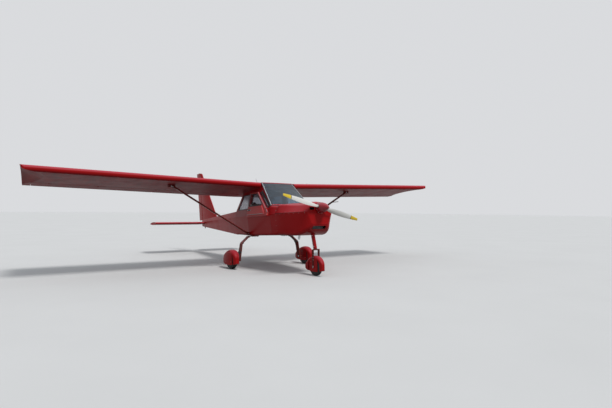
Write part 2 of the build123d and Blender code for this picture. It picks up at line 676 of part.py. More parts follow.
def cowling():
    """Both halves of the cowling: (upper, lower)."""
    ring_rear = COWL_STATIONS[-2][0]
    ring = rod((ring_rear, 0, THRUST_Z), (NOSE_RING_FRONT_X, 0, THRUST_Z), NOSE_RING_RADIUS)
    ring_hole = rod((ring_rear - 40, 0, THRUST_Z), (NOSE_RING_FRONT_X + 1, 0, THRUST_Z), NOSE_RING_BORE)
    inlet = Plane.YZ * RectangleRounded(INLET_WIDTH, INLET_HEIGHT, INLET_CORNER)
    slot = Plane.YZ * RectangleRounded(2 * RADIATOR_HALF, RADIATOR_HEIGHT, INLET_CORNER)
    last = COWL_STATIONS[-1]
    openings = (
        # face, y, z, depth
        (inlet, -INLET_Y, INLET_Z, INLET_DEPTH),
        (inlet, INLET_Y, INLET_Z, INLET_DEPTH),
        (slot, 0, RADIATOR_Z, RADIATOR_DEPTH),
    )
    cuts = []
    for face, y, z, depth in openings:
        cuts.append(extrude(Pos(last[0] - depth, y, z) * face, amount=2 * depth, dir=(1, 0, 0)))
    cuts.append(ring_hole)
    halves = []
    for section, z0, z1 in ((cowl_arch, WAIST_Z, 0), (cowl_trough, -2000, WAIST_Z)):
        outer = loft([section(row, 0) for row in COWL_STATIONS])
        inner_rows = (*COWL_STATIONS[:-1], (last[0] - COWL_WALL, *last[1:]))
        inner = loft([section(row, COWL_WALL) for row in inner_rows])
        keep = block(0, 2000, -1000, 1000, z0, z1)
        shell = (outer + (ring & keep)) - inner
        for cut in cuts:
            shell -= cut
        halves.append(shell)
    upper, lower = halves
    leg_hole = leg_shape(LEG_TUBE_RADIUS + 12, 40)
    pipe_hole = rod(EXHAUST_START, EXHAUST_END, EXHAUST_RADIUS + 8)
    return upper, lower - leg_hole - pipe_hole


def scuttle_loft(inset):
    """Arched body between the cabin's front edge and the firewall."""
    front = COWL_STATIONS[0]
    edge_z = SCREEN_BASE_Z - 6
    rear = (SCREEN_BASE_X, CABIN_STATIONS[1][3], side_half(edge_z), edge_z, SCREEN_BASE_Z - 3, *front[5:])
    return loft([cowl_arch(rear, inset), cowl_arch(front, inset)], ruled=True)


def scuttle():
    """Skin above the waist from the windshield's foot to the firewall."""
    return scuttle_loft(0) - scuttle_loft(COWL_WALL)


def firewall():
    """Plate between the cabin and the engine bay."""
    row = COWL_STATIONS[0]
    face_up = cowl_arch(row, COWL_WALL + FIREWALL_EDGE_GAP)
    face_down = cowl_trough(row, COWL_WALL + FIREWALL_EDGE_GAP)
    plate = extrude(face_up, amount=FIREWALL_THICKNESS, dir=(1, 0, 0))
    plate += extrude(face_down, amount=FIREWALL_THICKNESS, dir=(1, 0, 0))
    return plate


def engine_block():
    """Engine as one block with its propeller shaft."""
    front = ENGINE_REAR_X + ENGINE_LENGTH
    half = ENGINE_WIDTH / 2
    body = block(ENGINE_REAR_X, front, -half, half, ENGINE_TOP_Z - ENGINE_HEIGHT, ENGINE_TOP_Z)
    shaft = rod((front - 1, 0, THRUST_Z), (PROP_X + HUB_LENGTH / 2, 0, THRUST_Z), SHAFT_RADIUS)
    return body + shaft


def engine_mount():
    """Four tubes from the firewall to the engine."""
    tubes = []
    for y in (-1, 1):
        across_y = y * (ENGINE_WIDTH / 2 - MOUNT_INSET)
        for z in (ENGINE_TOP_Z - MOUNT_INSET, ENGINE_TOP_Z - ENGINE_HEIGHT + MOUNT_INSET):
            tubes.append(rod((FIREWALL_X + FIREWALL_THICKNESS, across_y, z), (ENGINE_REAR_X, across_y, z),
                             MOUNT_TUBE_RADIUS))
    return Compound(children=tubes)


def blade_section(radius, chord, thickness, pitch):
    """Lens-shaped blade section at a radius along +y."""
    plane = Plane(origin=(0, radius, 0), x_dir=(0, 0, 1), z_dir=(0, 1, 0))
    face = Face(Wire([
        ThreePointArc((-chord / 2, 0), (0, thickness * 0.75), (chord / 2, 0)),
        ThreePointArc((chord / 2, 0), (0, -thickness * 0.25), (-chord / 2, 0)),
    ]))
    return plane * Rot(0, 0, pitch) * face


def propeller():
    """Hub and two blades on the thrust line."""
    blade = loft([blade_section(*row) for row in BLADE_STATIONS])
    root = rod((0, 20, 0), (0, BLADE_STATIONS[0][0] + 6, 0), BLADE_ROOT_RADIUS)
    arm = blade + root
    pair = arm + Rot(180, 0, 0) * arm
    hub = Rot(0, 90, 0) * Cylinder(HUB_RADIUS, HUB_LENGTH)
    bore = Rot(0, 90, 0) * Cylinder(SHAFT_RADIUS + RUNNING_FIT, 3 * HUB_LENGTH)
    return Pos(PROP_X, 0, THRUST_Z) * Rot(PROP_REST_DEG, 0, 0) * ((pair + hub) - bore)


def nose_curve(base, tip, radius):
    """Ogive from the rim at the base to the blunt point on the axis."""
    length = tip - base
    return Bezier((base, radius), (base + 0.42 * length, radius), (tip, 0.45 * radius), (tip, 0))


def spinner():
    """Hollow pointed nose cap with a back plate, pierced for the blades and the shaft."""
    tip = NOSE_TIP_X - SPINNER_BASE_X
    wall = SPINNER_WALL
    hole = SHAFT_RADIUS + SPINNER_HOLE_GAP
    outer = nose_curve(0, tip, SPINNER_RADIUS)
    inner = nose_curve(wall, tip - 2 * wall, SPINNER_RADIUS - wall)
    half = Face(Wire([
        Line((0, hole), (0, SPINNER_RADIUS)),
        outer,
        Line((tip, 0), (tip - 2 * wall, 0)),
        inner,
        Line((wall, SPINNER_RADIUS - wall), (wall, hole)),
        Line((wall, hole), (0, hole)),
    ]))
    shell = Pos(SPINNER_BASE_X, 0, THRUST_Z) * revolve(half, axis=Axis.X)
    holes = Rot(PROP_REST_DEG, 0, 0) * rod((0, -150, 0), (0, 150, 0), BLADE_ROOT_RADIUS + 4)
    return shell - Pos(PROP_X, 0, THRUST_Z) * holes


def boom_loft(inset):
    """Six-sided body of the tail cone, drawn in by the inset."""
    sections = []
    for x, deck, waist, bottom, deck_half, waist_half, bottom_half in TAIL_STATIONS:
        points = ((-deck_half + inset, deck - inset), (-waist_half + inset, waist),
                  (-bottom_half + inset, bottom + inset), (bottom_half - inset, bottom + inset),
                  (waist_half - inset, waist), (deck_half - inset, deck - inset))
        sections.append(cross_plane(x) * make_face(Polyline(*points, close=True)))
    return loft(sections, ruled=True)


def tail_boom():
    """Slab-sided tail cone."""
    cone = boom_loft(0)
    hollow = boom_loft(BOOM_SKIN) & block(TAIL_CAVITY_END_X, CABIN_END_X - BOOM_SKIN, -BIG, BIG, -BIG, BIG)
    cable_hole = rod((CABIN_END_X + 1, 0, -760), (CABIN_END_X - 2 * BOOM_SKIN, 0, -760), 90)
    bore = rod((STABILATOR_PIVOT_X, -BIG, STABILATOR_Z), (STABILATOR_PIVOT_X, BIG, STABILATOR_Z),
               STABILATOR_TUBE_RADIUS + RUNNING_FIT)
    x, z = TAIL_EYE
    under = TAIL_STATIONS[1][3]
    corners = ((x - 30, under + 20), (x + 30, under + 20), (x + 16, z - 18), (x - 16, z - 18))
    ring = across(corners, -TAIL_EYE_PLATE / 2, TAIL_EYE_PLATE / 2)
    ring -= rod((x, -BIG, z), (x, BIG, z), TIE_EYE_RADIUS)
    return (cone - hollow - cable_hole - bore) + (ring - cone)


def deck_z(x):
    """Height of the tail cone's deck at x."""
    (x0, z0), (x1, z1) = TAIL_STATIONS[0][:2], TAIL_STATIONS[1][:2]
    return z0 + (z1 - z0) * (x - x0) / (x1 - x0)


def hinge_x(z):
    """Rudder hinge line at height z."""
    (x0, z0), (x1, z1) = RUDDER_HINGE_FOOT, RUDDER_HINGE_TOP
    return x0 + (x1 - x0) * (z - z0) / (z1 - z0)


def fin_lead_x(z):
    """Fin leading edge at height z."""
    return FIN_FOOT_X + (FIN_TOP_FRONT_X - FIN_FOOT_X) * (z - FIN_FOOT_Z) / (FIN_TOP_Z - FIN_FOOT_Z)


def fin_section(z, thickness, nose):
    """Level section of the fin with a round nose and a flat back."""
    lead = fin_lead_x(z)
    back = hinge_x(z) + nose + RUDDER_GAP
    radius = thickness * 0.16
    mid = lead + (back - lead) * 0.45
    return Pos(0, 0, z) * Face(Wire([
        ThreePointArc((lead - radius, -radius), (lead, 0), (lead - radius, radius)),
        ThreePointArc((lead - radius, radius), (mid, thickness / 2), (back, nose)),
        Line((back, nose), (back, -nose)),
        ThreePointArc((back, -nose), (mid, -thickness / 2), (lead - radius, -radius)),
    ]))


def rudder_section(z, nose, tail_x):
    """Level section of the rudder with a round nose about the hinge line."""
    x = hinge_x(z)
    return Pos(0, 0, z) * Face(Wire([
        ThreePointArc((x, -nose), (x + nose, 0), (x, nose)),
        Line((x, nose), (tail_x, 3)),
        Line((tail_x, 3), (tail_x, -3)),
        Line((tail_x, -3), (x, -nose)),
    ]))


def rudder_hinge_points():
    """Places of the three rudder hinges on the hinge line."""
    low, high = FIN_FOOT_Z + RUDDER_HINGE_FOOT_INSET, FIN_TOP_Z - RUDDER_HINGE_TOP_INSET
    return [Vector(hinge_x(z), 0, z) for z in (low, (low + high) / 2, high)]


def hinge_frame(point):
    """Plane across the rudder's hinge line at a point, its own x forward."""
    line = Vector(RUDDER_HINGE_TOP[0] - RUDDER_HINGE_FOOT[0], 0, RUDDER_HINGE_TOP[1] - RUDDER_HINGE_FOOT[1])
    return Plane(origin=point, x_dir=(line.Z, 0, -line.X), z_dir=line)


def fin():
    """Swept fin on the tail cone's deck, with hinge plates for the rudder."""
    body = loft([
        fin_section(FIN_FOOT_Z - 60, FIN_FOOT_THICKNESS, FIN_NOSE_FOOT),
        fin_section(FIN_TOP_Z - 30, FIN_TOP_THICKNESS, FIN_NOSE_TOP),
    ], ruled=True)
    front, rear, top = FIN_FOOT_X + FIN_ROOM, RUDDER_TOP_TAIL_X - FIN_ROOM, FIN_TOP_Z + FIN_ROOM
    deck = [(x, deck_z(x)) for x in (front, TAIL_END_X, rear)]
    body &= across((*deck, (rear, top), (front, top)), -FIN_ROOM, FIN_ROOM)
    body -= loft([
        offset(fin_section(FIN_FOOT_Z - 60, FIN_FOOT_THICKNESS, FIN_NOSE_FOOT), amount=-TAIL_SKIN),
        offset(fin_section(FIN_TOP_Z - 60, FIN_TOP_THICKNESS, FIN_NOSE_TOP), amount=-TAIL_SKIN),
    ], ruled=True)
    for point in rudder_hinge_points():
        plane = hinge_frame(point)
        plate = plane * extrude(rounded(RUDDER_PLATE), amount=HINGE_PLATE / 2, both=True)
        plate -= body
        pin = plane * Cylinder(HINGE_PIN_RADIUS, 2 * HINGE_PIN_REACH)
        body += plate + pin
    return body


def rudder():
    """Rudder with slots for its hinge plates."""
    foot_z, top_z = RUDDER_HINGE_FOOT[1] + 14, FIN_TOP_Z
    body = loft([
        rudder_section(foot_z, FIN_NOSE_FOOT - 2, RUDDER_FOOT_TAIL_X),
        rudder_section(top_z, FIN_NOSE_TOP - 2, RUDDER_TOP_TAIL_X),
    ], ruled=True)
    for point in rudder_hinge_points():
        plane = hinge_frame(point)
        slot = plane * Pos(15, 0, 0) * Box(76, 90, HINGE_SLOT)
        bore = plane * Cylinder(HINGE_PIN_RADIUS + RUNNING_FIT, 2 * HINGE_PIN_REACH + 2)
        body -= slot
        body -= bore
    return body


def stabilator_rib(chord, thickness):
    """Symmetric rib with its nose at x = 0, as an XZ face."""
    radius = thickness * 0.3
    return Face(Wire([
        ThreePointArc((-radius, 0, -radius * 0.9), (0, 0, 0), (-radius, 0, radius * 0.9)),
        ThreePointArc((-radius, 0, radius * 0.9), (-chord * 0.35, 0, thickness / 2), (-chord, 0, 3)),
        Line((-chord, 0, 3), (-chord, 0, -3)),
        ThreePointArc((-chord, 0, -3), (-chord * 0.35, 0, -thickness / 2), (-radius, 0, -radius * 0.9)),
    ]))


def boom_half(x):
    """Half width of the tail cone at its waist at x."""
    front, rear = TAIL_STATIONS
    return front[5] + (rear[5] - front[5]) * (x - front[0]) / (rear[0] - front[0])


STABILATOR_ROOT_Y = boom_half(STABILATOR_LEAD_X) + STABILATOR_SIDE_GAP
TAB_HINGE_X = STABILATOR_LEAD_X - STABILATOR_CHORD + TAB_CHORD


def tab_room(x0, x1, y0, y1, height):
    """Box about the tab's hinge line, its ends given from that line."""
    return block(TAB_HINGE_X + x0, TAB_HINGE_X + x1, y0, y1, STABILATOR_Z - height, STABILATOR_Z + height)


def tab_bar(y0, y1, radius):
    """Round bar on the tab's hinge line."""
    return rod((TAB_HINGE_X, y0, STABILATOR_Z), (TAB_HINGE_X, y1, STABILATOR_Z), radius)


def stabilator_half():
    """Port half in plan, before the tab is cut away."""
    half = STABILATOR_SPAN / 2
    piece = extrude(stabilator_rib(STABILATOR_CHORD, STABILATOR_THICKNESS), amount=half - STABILATOR_ROOT_Y,
                    dir=(0, 1, 0))
    piece = Pos(STABILATOR_LEAD_X, STABILATOR_ROOT_Y, STABILATOR_Z) * piece
    lead, trail = STABILATOR_LEAD_X + 5, STABILATOR_LEAD_X - STABILATOR_CHORD
    plan = make_face(Polyline(
        (lead, STABILATOR_ROOT_Y - 1), (lead, half), (trail - 5, half - STABILATOR_TIP_SWEEP),
        (trail - 5, TAB_ROOT_Y - STABILATOR_NOTCH_GAP), (trail + STABILATOR_NOTCH, STABILATOR_ROOT_Y - 1),
        close=True,
    ))
    return piece & extrude(Pos(0, 0, STABILATOR_Z - 100) * plan, amount=200)


def stabilator():
    """All-moving tailplane: two halves on one tube, cut for the tab."""
    piece = stabilator_half()
    start_y = STABILATOR_ROOT_Y + STABILATOR_END_DEPTH
    core = offset(stabilator_rib(STABILATOR_CHORD, STABILATOR_THICKNESS), amount=-TAIL_SKIN)
    length = STABILATOR_SPAN / 2 - STABILATOR_ROOT_Y - 2 * STABILATOR_END_DEPTH
    core = Pos(STABILATOR_LEAD_X, start_y, STABILATOR_Z) * extrude(core, amount=length, dir=(0, 1, 0))
    piece -= core & block(STABILATOR_LEAD_X - 330, 0, 0, BIG, -BIG, 0)
    drain_x = STABILATOR_LEAD_X - 90
    piece -= rod((drain_x, STABILATOR_ROOT_Y - 1, STABILATOR_Z), (drain_x, start_y + 1, STABILATOR_Z), 6)
    piece -= tab_room(-200, TAB_COVE, TAB_ROOT_Y - TAB_END_GAP, TAB_TIP_Y + TAB_END_GAP, 60)
    for y in TAB_HINGE_YS:
        piece += tab_room(-4, TAB_COVE + 2, y - 4, y + 4, 4)
        piece += tab_bar(y - 12, y + 12, TAB_PIN_RADIUS)
    tube = rod((STABILATOR_PIVOT_X, -STABILATOR_ROOT_Y - 20, STABILATOR_Z),
               (STABILATOR_PIVOT_X, STABILATOR_ROOT_Y + 20, STABILATOR_Z), STABILATOR_TUBE_RADIUS)
    return piece + starboard(piece) + tube


def trim_tab():
    """Both halves of the tab on the stabilator's trailing edge."""
    piece = stabilator_half() & tab_room(-200, 0, TAB_ROOT_Y, TAB_TIP_Y, 60)
    nose = tab_bar(TAB_ROOT_Y, TAB_TIP_Y, TAB_NOSE_RADIUS)
    for y in TAB_HINGE_YS:
        piece -= tab_room(-12, 1, y - 9, y + 9, 30)
        nose -= tab_room(-30, 30, y - 9, y + 9, 30)
    piece += nose
    for y in TAB_HINGE_YS:
        piece -= tab_bar(y - 13, y + 13, TAB_PIN_RADIUS + RUNNING_FIT)
    return Compound(children=[piece, starboard(piece)])


def strut_section(plane):
    """Streamlined strut section on a plane."""
    half, side = STRUT_CHORD / 2, STRUT_THICKNESS / 2
    return plane * Face(Wire([
        ThreePointArc((half - side, -side), (half, 0), (half - side, side)),
        Line((half - side, side), (-half, 2)),
        Line((-half, 2), (-half, -2)),
        Line((-half, -2), (half - side, -side)),
    ]))


STRUT_HEAD = (STRUT_HEAD_X, STRUT_HEAD_Y, wing_bottom_z(STRUT_HEAD_X) - STRUT_HEAD_DROP
              + (STRUT_HEAD_Y - ROOT_Y) * math.tan(math.radians(DIHEDRAL_DEG)))


def strut_plate(x, points):
    """Fitting plate across the aircraft at x, from a list of (y, z) corners."""
    face = cross_plane(x - STRUT_PLATE / 2) * rounded(points)
    return extrude(face, amount=STRUT_PLATE, dir=(1, 0, 0))


def strut(panel):
    """Port wing strut, its plates against the belly's side and the wing panel, and the tie-down eye."""
    foot, head = Vector(*STRUT_FOOT), Vector(*STRUT_HEAD)
    run = (head - foot).normalized()
    side = Vector(1, 0, 0) - run * run.X
    plane = Plane(origin=foot + run * STRUT_FOOT_GAP, x_dir=side, z_dir=run)
    bar = extrude(strut_section(plane), amount=(head - foot).length - STRUT_FOOT_GAP - STRUT_HEAD_GAP)
    _, y, z = STRUT_FOOT
    low = ((y - 60, z - 25), (y - 60, z + 30), (y + 60, z + 62), (y + 75, z + 34), (y, z - 25))
    _, y, z = STRUT_HEAD
    in_skin = z + STRUT_HEAD_SEAT
    high = ((y - 116, z - 80), (y - 50, z - 50), (y + TIE_EYE_Y + 18, z - 42), (y + TIE_EYE_Y + 18, in_skin),
            (y - 90, in_skin))
    eye_y, eye_z = y + TIE_EYE_Y, z - TIE_EYE_DROP
    eye = rod((head.X - STRUT_PLATE, eye_y, eye_z), (head.X + STRUT_PLATE, eye_y, eye_z), TIE_EYE_RADIUS)
    bar += strut_plate(foot.X, low) - cabin_loft(0, low=True)
    bar += strut_plate(head.X, high) - panel
    return bar - eye


def main_axle():
    """Port stub axle, from the middle of the leaf's foot outwards."""
    end_y = MAIN_TRACK_HALF + MAIN_TYRE_WIDTH / 2 - AXLE_END_INSET
    return rod((MAIN_AXLE_X, MAIN_TRACK_HALF - LEAF_INSET, MAIN_AXLE_Z), (MAIN_AXLE_X, end_y, MAIN_AXLE_Z),
               AXLE_RADIUS)


def main_leg():
    """Port spring leaf under the belly with its stub axle."""
    inner_z = BELLY_Z - LEAF_THICKNESS / 2
    foot_y = MAIN_TRACK_HALF - LEAF_INSET
    path = FilletPolyline((LEAF_ROOT_Y, inner_z), (LEAF_BEND_Y, inner_z), (foot_y - LEAF_SPLAY, LEAF_KNEE_Z),
                          (foot_y, MAIN_AXLE_Z - LEAF_FOOT_DROP), radius=LEAF_BEND_RADIUS)
    face = Plane(origin=(MAIN_AXLE_X + LEAF_WIDTH / 2, 0, 0), x_dir=(0, 1, 0), z_dir=(1, 0, 0)) * trace(
        path, line_width=LEAF_THICKNESS)
    leaf = extrude(face, amount=-LEAF_WIDTH)
    return leaf + main_axle()


def tyre(radius, width, rim_radius):
    """Tyre of revolution about y at the origin."""
    half = width / 2
    face = make_face(Polyline((rim_radius, -half * 0.62), (radius - 32, -half), (radius - 10, -half * 0.72),
                              (radius, -half * 0.3), (radius, half * 0.3), (radius - 10, half * 0.72),
                              (radius - 32, half), (rim_radius, half * 0.62), close=True))
    return revolve(Plane.XY * face, axis=Axis.Y)


def rim(rim_radius, width, bore):
    """Two-flange wheel with a hub round its axle."""
    half = width / 2 * 0.62
    disc = Rot(90, 0, 0) * (Cylinder(rim_radius, 2 * half) - Cylinder(rim_radius - 12, 2 * half + 2))
    web = Rot(90, 0, 0) * Cylinder(rim_radius - 11, 14)
    hub = Rot(90, 0, 0) * Cylinder(bore + 14, 2 * half + 6)
    hole = Rot(90, 0, 0) * Cylinder(bore + RUNNING_FIT, 4 * width)
    wheel = disc + web + hub
    for angle in range(0, 360, 60):
        wheel -= Rot(0, angle, 0) * Pos(rim_radius * 0.62, 0, 0) * Rot(90, 0, 0) * Cylinder(9, 40)
    return wheel - hole


def spat(rows, wheel_radius, wheel_width, x, y, z):
    """Wheel fairing lofted through rows of (x, half width, top, bottom), open round the wheel."""
    sections = []
    for dx, half, top, bottom in rows:
        face = make_face(Polyline((-half, bottom), (-half, top), (half, top), (half, bottom), close=True))
        upper = face.vertices().sort_by(Axis.Y)[-2:]
        sections.append(cross_plane(dx) * fillet(upper, min(half, top - bottom) * SPAT_ROUNDING))
    body = loft(sections)
    reach, side = wheel_radius + SPAT_WHEEL_GAP, wheel_width / 2 + SPAT_SIDE_GAP
    well = Rot(90, 0, 0) * Cylinder(reach, 2 * side)
    well += block(-reach, reach, -side, side, -2 * wheel_radius, 0)
    return Pos(x, y, z) * (body - well)


# Fairing rows: x, half width, top and bottom above the axle
MAIN_SPAT_ROWS = (
    (MAIN_TYRE_RADIUS + 84.0, 34.0, 60.0, -62.0),
    (MAIN_TYRE_RADIUS + 12.0, MAIN_TYRE_WIDTH / 2 + 8.0, MAIN_TYRE_RADIUS - 13.0, -86.0),
    (0.0, MAIN_TYRE_WIDTH / 2 + 26.0, MAIN_TYRE_RADIUS + 37.0, -92.0),
    (-MAIN_TYRE_RADIUS - 12.0, MAIN_TYRE_WIDTH / 2 + 14.0, MAIN_TYRE_RADIUS - 10.0, -78.0),
    (-MAIN_TYRE_RADIUS - 207.0, 18.0, 48.0, -30.0),
)
NOSE_SPAT_ROWS = (
    (NOSE_TYRE_RADIUS + 73.0, 26.0, 50.0, -58.0),
    (NOSE_TYRE_RADIUS + 10.0, NOSE_TYRE_WIDTH / 2 + 4.0, NOSE_TYRE_RADIUS - 15.0, -80.0),
    (0.0, NOSE_TYRE_WIDTH / 2 + 16.0, NOSE_TYRE_RADIUS + 40.0, -86.0),
    (-NOSE_TYRE_RADIUS - 15.0, NOSE_TYRE_WIDTH / 2 + 6.0, NOSE_TYRE_RADIUS - 15.0, -72.0),
    (-NOSE_TYRE_RADIUS - 165.0, 15.0, 42.0, -28.0),
)


def main_spat():
    """Port main wheel fairing, drilled for the axle on its inner side."""
    body = spat(MAIN_SPAT_ROWS, MAIN_TYRE_RADIUS, MAIN_TYRE_WIDTH, MAIN_AXLE_X, MAIN_TRACK_HALF, MAIN_AXLE_Z)
    return body - main_axle()


SINE = math.sin(math.radians(NOSE_UP_DEG))
COSINE = math.cos(math.radians(NOSE_UP_DEG))
LIFT = MAIN_TYRE_RADIUS - MAIN_AXLE_X * SINE - MAIN_AXLE_Z * COSINE
NOSE_AXLE_Z = (NOSE_TYRE_RADIUS - LIFT - NOSE_AXLE_X * SINE) / COSINE
FORWARD = ((NOSE_TIP_X * COSINE - THRUST_Z * SINE) + (RUDDER_TOP_TAIL_X * COSINE - FIN_TOP_Z * SINE)) / 2

LEG_RAKE = math.radians(LEG_RAKE_DEG)
LEG_LINE = Vector(math.sin(LEG_RAKE), 0, -math.cos(LEG_RAKE))
LEG_START = Vector(LEG_TOP[0], 0, LEG_TOP[1])


def leg_shape(radius, tail):
    """Streamlined bar along the nose leg."""
    plane = Plane(origin=LEG_START, x_dir=(math.cos(LEG_RAKE), 0, math.sin(LEG_RAKE)), z_dir=LEG_LINE)
    face = Face(Wire([
        ThreePointArc((0, -radius), (radius, 0), (0, radius)),
        Line((0, radius), (-radius - tail, 4)),
        Line((-radius - tail, 4), (-radius - tail, -4)),
        Line((-radius - tail, -4), (0, -radius)),
    ]))
    return extrude(plane * face, amount=LEG_LENGTH)


def nose_leg():
    """Nose leg with its fairing and the arm back to the firewall."""
    body = leg_shape(LEG_TUBE_RADIUS, 38)
    end = LEG_START + LEG_LINE * (LEG_LENGTH + 5)
    start = LEG_START + LEG_LINE * 90
    body -= rod(tuple(start), tuple(end), STEM_RADIUS + RUNNING_FIT)
    arm = rod((FIREWALL_X + FIREWALL_THICKNESS, 0, LEG_TOP[1] + 30), (LEG_TOP[0] + 5, 0, LEG_TOP[1] + 30), 20)
    cap = Pos(*tuple(LEG_START + LEG_LINE * -18)) * Box(70, 60, 70)
    return body + arm + cap


def nose_fork():
    """Steering stem, crown, two fork plates and the nose axle."""
    half = NOSE_SPAT_ROWS[2][1] + FORK_GAP + FORK_PLATE
    stem_top = LEG_START + LEG_LINE * 100
    crown = LEG_START + LEG_LINE * (LEG_LENGTH + 26)
    stem = rod(tuple(stem_top), tuple(crown), STEM_RADIUS)
    collar = rod(tuple(LEG_START + LEG_LINE * (LEG_LENGTH + 5)), tuple(crown), LEG_TUBE_RADIUS)
    bridge = Pos(*tuple(crown)) * Rot(0, -LEG_RAKE_DEG, 0) * Box(60, 2 * half, 14)
    top_z, foot_z = crown.Z + 2, NOSE_AXLE_Z - 14
    corners = (
        (crown.X - 30, top_z), (crown.X + 30, top_z), (NOSE_AXLE_X + 22, foot_z), (NOSE_AXLE_X - 22, foot_z),
    )
    plate = across(corners, half - FORK_PLATE, half)
    end = half + TOW_STUB
    axle = rod((NOSE_AXLE_X, -end, NOSE_AXLE_Z), (NOSE_AXLE_X, end, NOSE_AXLE_Z), AXLE_RADIUS)
    return stem + collar + bridge + plate + starboard(plate) + axle


def nose_spat():
    """Nose wheel fairing between the fork plates."""
    well = NOSE_TYRE_WIDTH - NOSE_WELL_TRIM
    body = spat(NOSE_SPAT_ROWS, NOSE_TYRE_RADIUS, well, NOSE_AXLE_X, 0, NOSE_AXLE_Z)
    return body - rod((NOSE_AXLE_X, -BIG, NOSE_AXLE_Z), (NOSE_AXLE_X, BIG, NOSE_AXLE_Z), AXLE_RADIUS)


SEAT_FLOOR_Z = BELLY_Z + WALL
STICK_X = 225.0
STICK_Y = 215.0
STICK_LEAN = 40.0
STICK_RADIUS = 11.0
STICK_GRIP_Z = -690.0
STICK_GRIP = 90.0
STICK_GRIP_RADIUS = 17.0


SEAT_SPAN = (22.0, 398.0)
SEAT_CUSHION = ((-300.0, -880.0), (150.0, -850.0), (150.0, -770.0), (-290.0, -790.0))
SEAT_BACK = ((-300.0, -880.0), (-290.0, -790.0), (-430.0, -330.0), (-500.0, -345.0), (-370.0, -880.0))
SEAT_SIDE = ((-360.0, SEAT_FLOOR_Z), (120.0, SEAT_FLOOR_Z), (120.0, -852.0), (-300.0, -880.0), (-360.0, -880.0))
SEAT_SIDE_INSET = 30.0
SEAT_SIDE_THICKNESS = 20.0


def seat_parts(y0, y1):
    """Cushion and back of one seat: (soft solid, frame solid)."""
    cushion = across(SEAT_CUSHION, y0, y1)
    back = across(SEAT_BACK, y0, y1)
    inner, outer = SEAT_SIDE_INSET, SEAT_SIDE_INSET + SEAT_SIDE_THICKNESS
    frame = across(SEAT_SIDE, y0 + inner, y0 + outer)
    frame += across(SEAT_SIDE, y1 - outer, y1 - inner)
    return cushion + back, frame


PANEL_X = 330.0
PANEL_THICKNESS = 20.0
PANEL_FOOT_Z = -690.0
PANEL_TOP_Z = -470.0
COAMING_THICKNESS = 12.0
COAMING_DROP = 4.0
COAMING_END_GAP = 2.0


def instrument_panel():
    """Panel across the cabin with its coaming."""
    width = CABIN_STATIONS[0][3]
    plate = block(PANEL_X, PANEL_X + PANEL_THICKNESS, -width, width, PANEL_FOOT_Z, PANEL_TOP_Z)
    front, top = SCREEN_BASE_X - COAMING_END_GAP, PANEL_TOP_Z + COAMING_THICKNESS
    hood = across(
        (
            (PANEL_X, PANEL_TOP_Z), (PANEL_X, top),
            (front, top - COAMING_DROP), (front, PANEL_TOP_Z - COAMING_DROP),
        ),
        -width, width,
    )
    whole = plate + hood
    upper = whole & cabin_loft(WALL, rise=CABIN_RISE + 1)
    lower = whole & cabin_loft(WALL, low=True)
    return upper + lower - cabin_tub()


def control_sticks():
    """Two control sticks on the floor in front of the seats."""
    sticks = []
    for y in (-STICK_Y, STICK_Y):
        foot = (STICK_X, y, SEAT_FLOOR_Z - STICK_RADIUS)
        top = (STICK_X - STICK_LEAN, y, STICK_GRIP_Z)
        stick = rod(foot, top, STICK_RADIUS) & block(0, BIG, -BIG, BIG, SEAT_FLOOR_Z, BIG)
        sticks.append(stick + Pos(*top) * Cylinder(STICK_GRIP_RADIUS, STICK_GRIP))
    return Compound(children=sticks)


EXHAUST_START = (1000.0, -120.0, ENGINE_TOP_Z - ENGINE_HEIGHT + 1)
EXHAUST_END = (930.0, -120.0, -1120.0)
EXHAUST_RADIUS = 22.0


def exhaust():
    """Exhaust pipe from the engine down through the cowling, open at its lower end."""
    pipe = rod(EXHAUST_START, EXHAUST_END, EXHAUST_RADIUS)
    start, end = Vector(*EXHAUST_START), Vector(*EXHAUST_END)
    run = (end - start).normalized()
    pipe -= rod(tuple(end - run * 60), tuple(end + run), EXHAUST_RADIUS - 3)
    return pipe - engine_block()


def antenna():
    """Whip antenna on the roof."""
    x = -890.0
    z = wing_bottom_z(x) + rib_top(x)
    mast = rod((x, 0, z), (x - 110, 0, z + 165), 3) + Pos(x, 0, z) * Cylinder(18, 16)
    return mast - roof()


def tail_light():
    """Beacon on top of the fin."""
    return Pos(FIN_TOP_FRONT_X - 40, 0, FIN_TOP_Z - 30 + 14) * Cylinder(19, 28)


def pitot_probe(strut_left):
    """Pitot tube on the port strut, with its clamp against the strut's nose."""
    foot, head = Vector(*STRUT_FOOT), Vector(*STRUT_HEAD)
    place = foot + (head - foot) * 0.72
    nose = place.X + STRUT_CHORD / 2
    tube = rod((nose - 6, place.Y, place.Z), (nose + 230, place.Y, place.Z), 7)
    return (tube + Pos(nose, place.Y, place.Z) * Box(30, 24, 24)) - strut_left


def parked(shape):
    """Tips the level aircraft nose up and sets it on its wheels."""
    return Pos(-FORWARD, 0, LIFT) * Rot(0, -NOSE_UP_DEG, 0) * shape


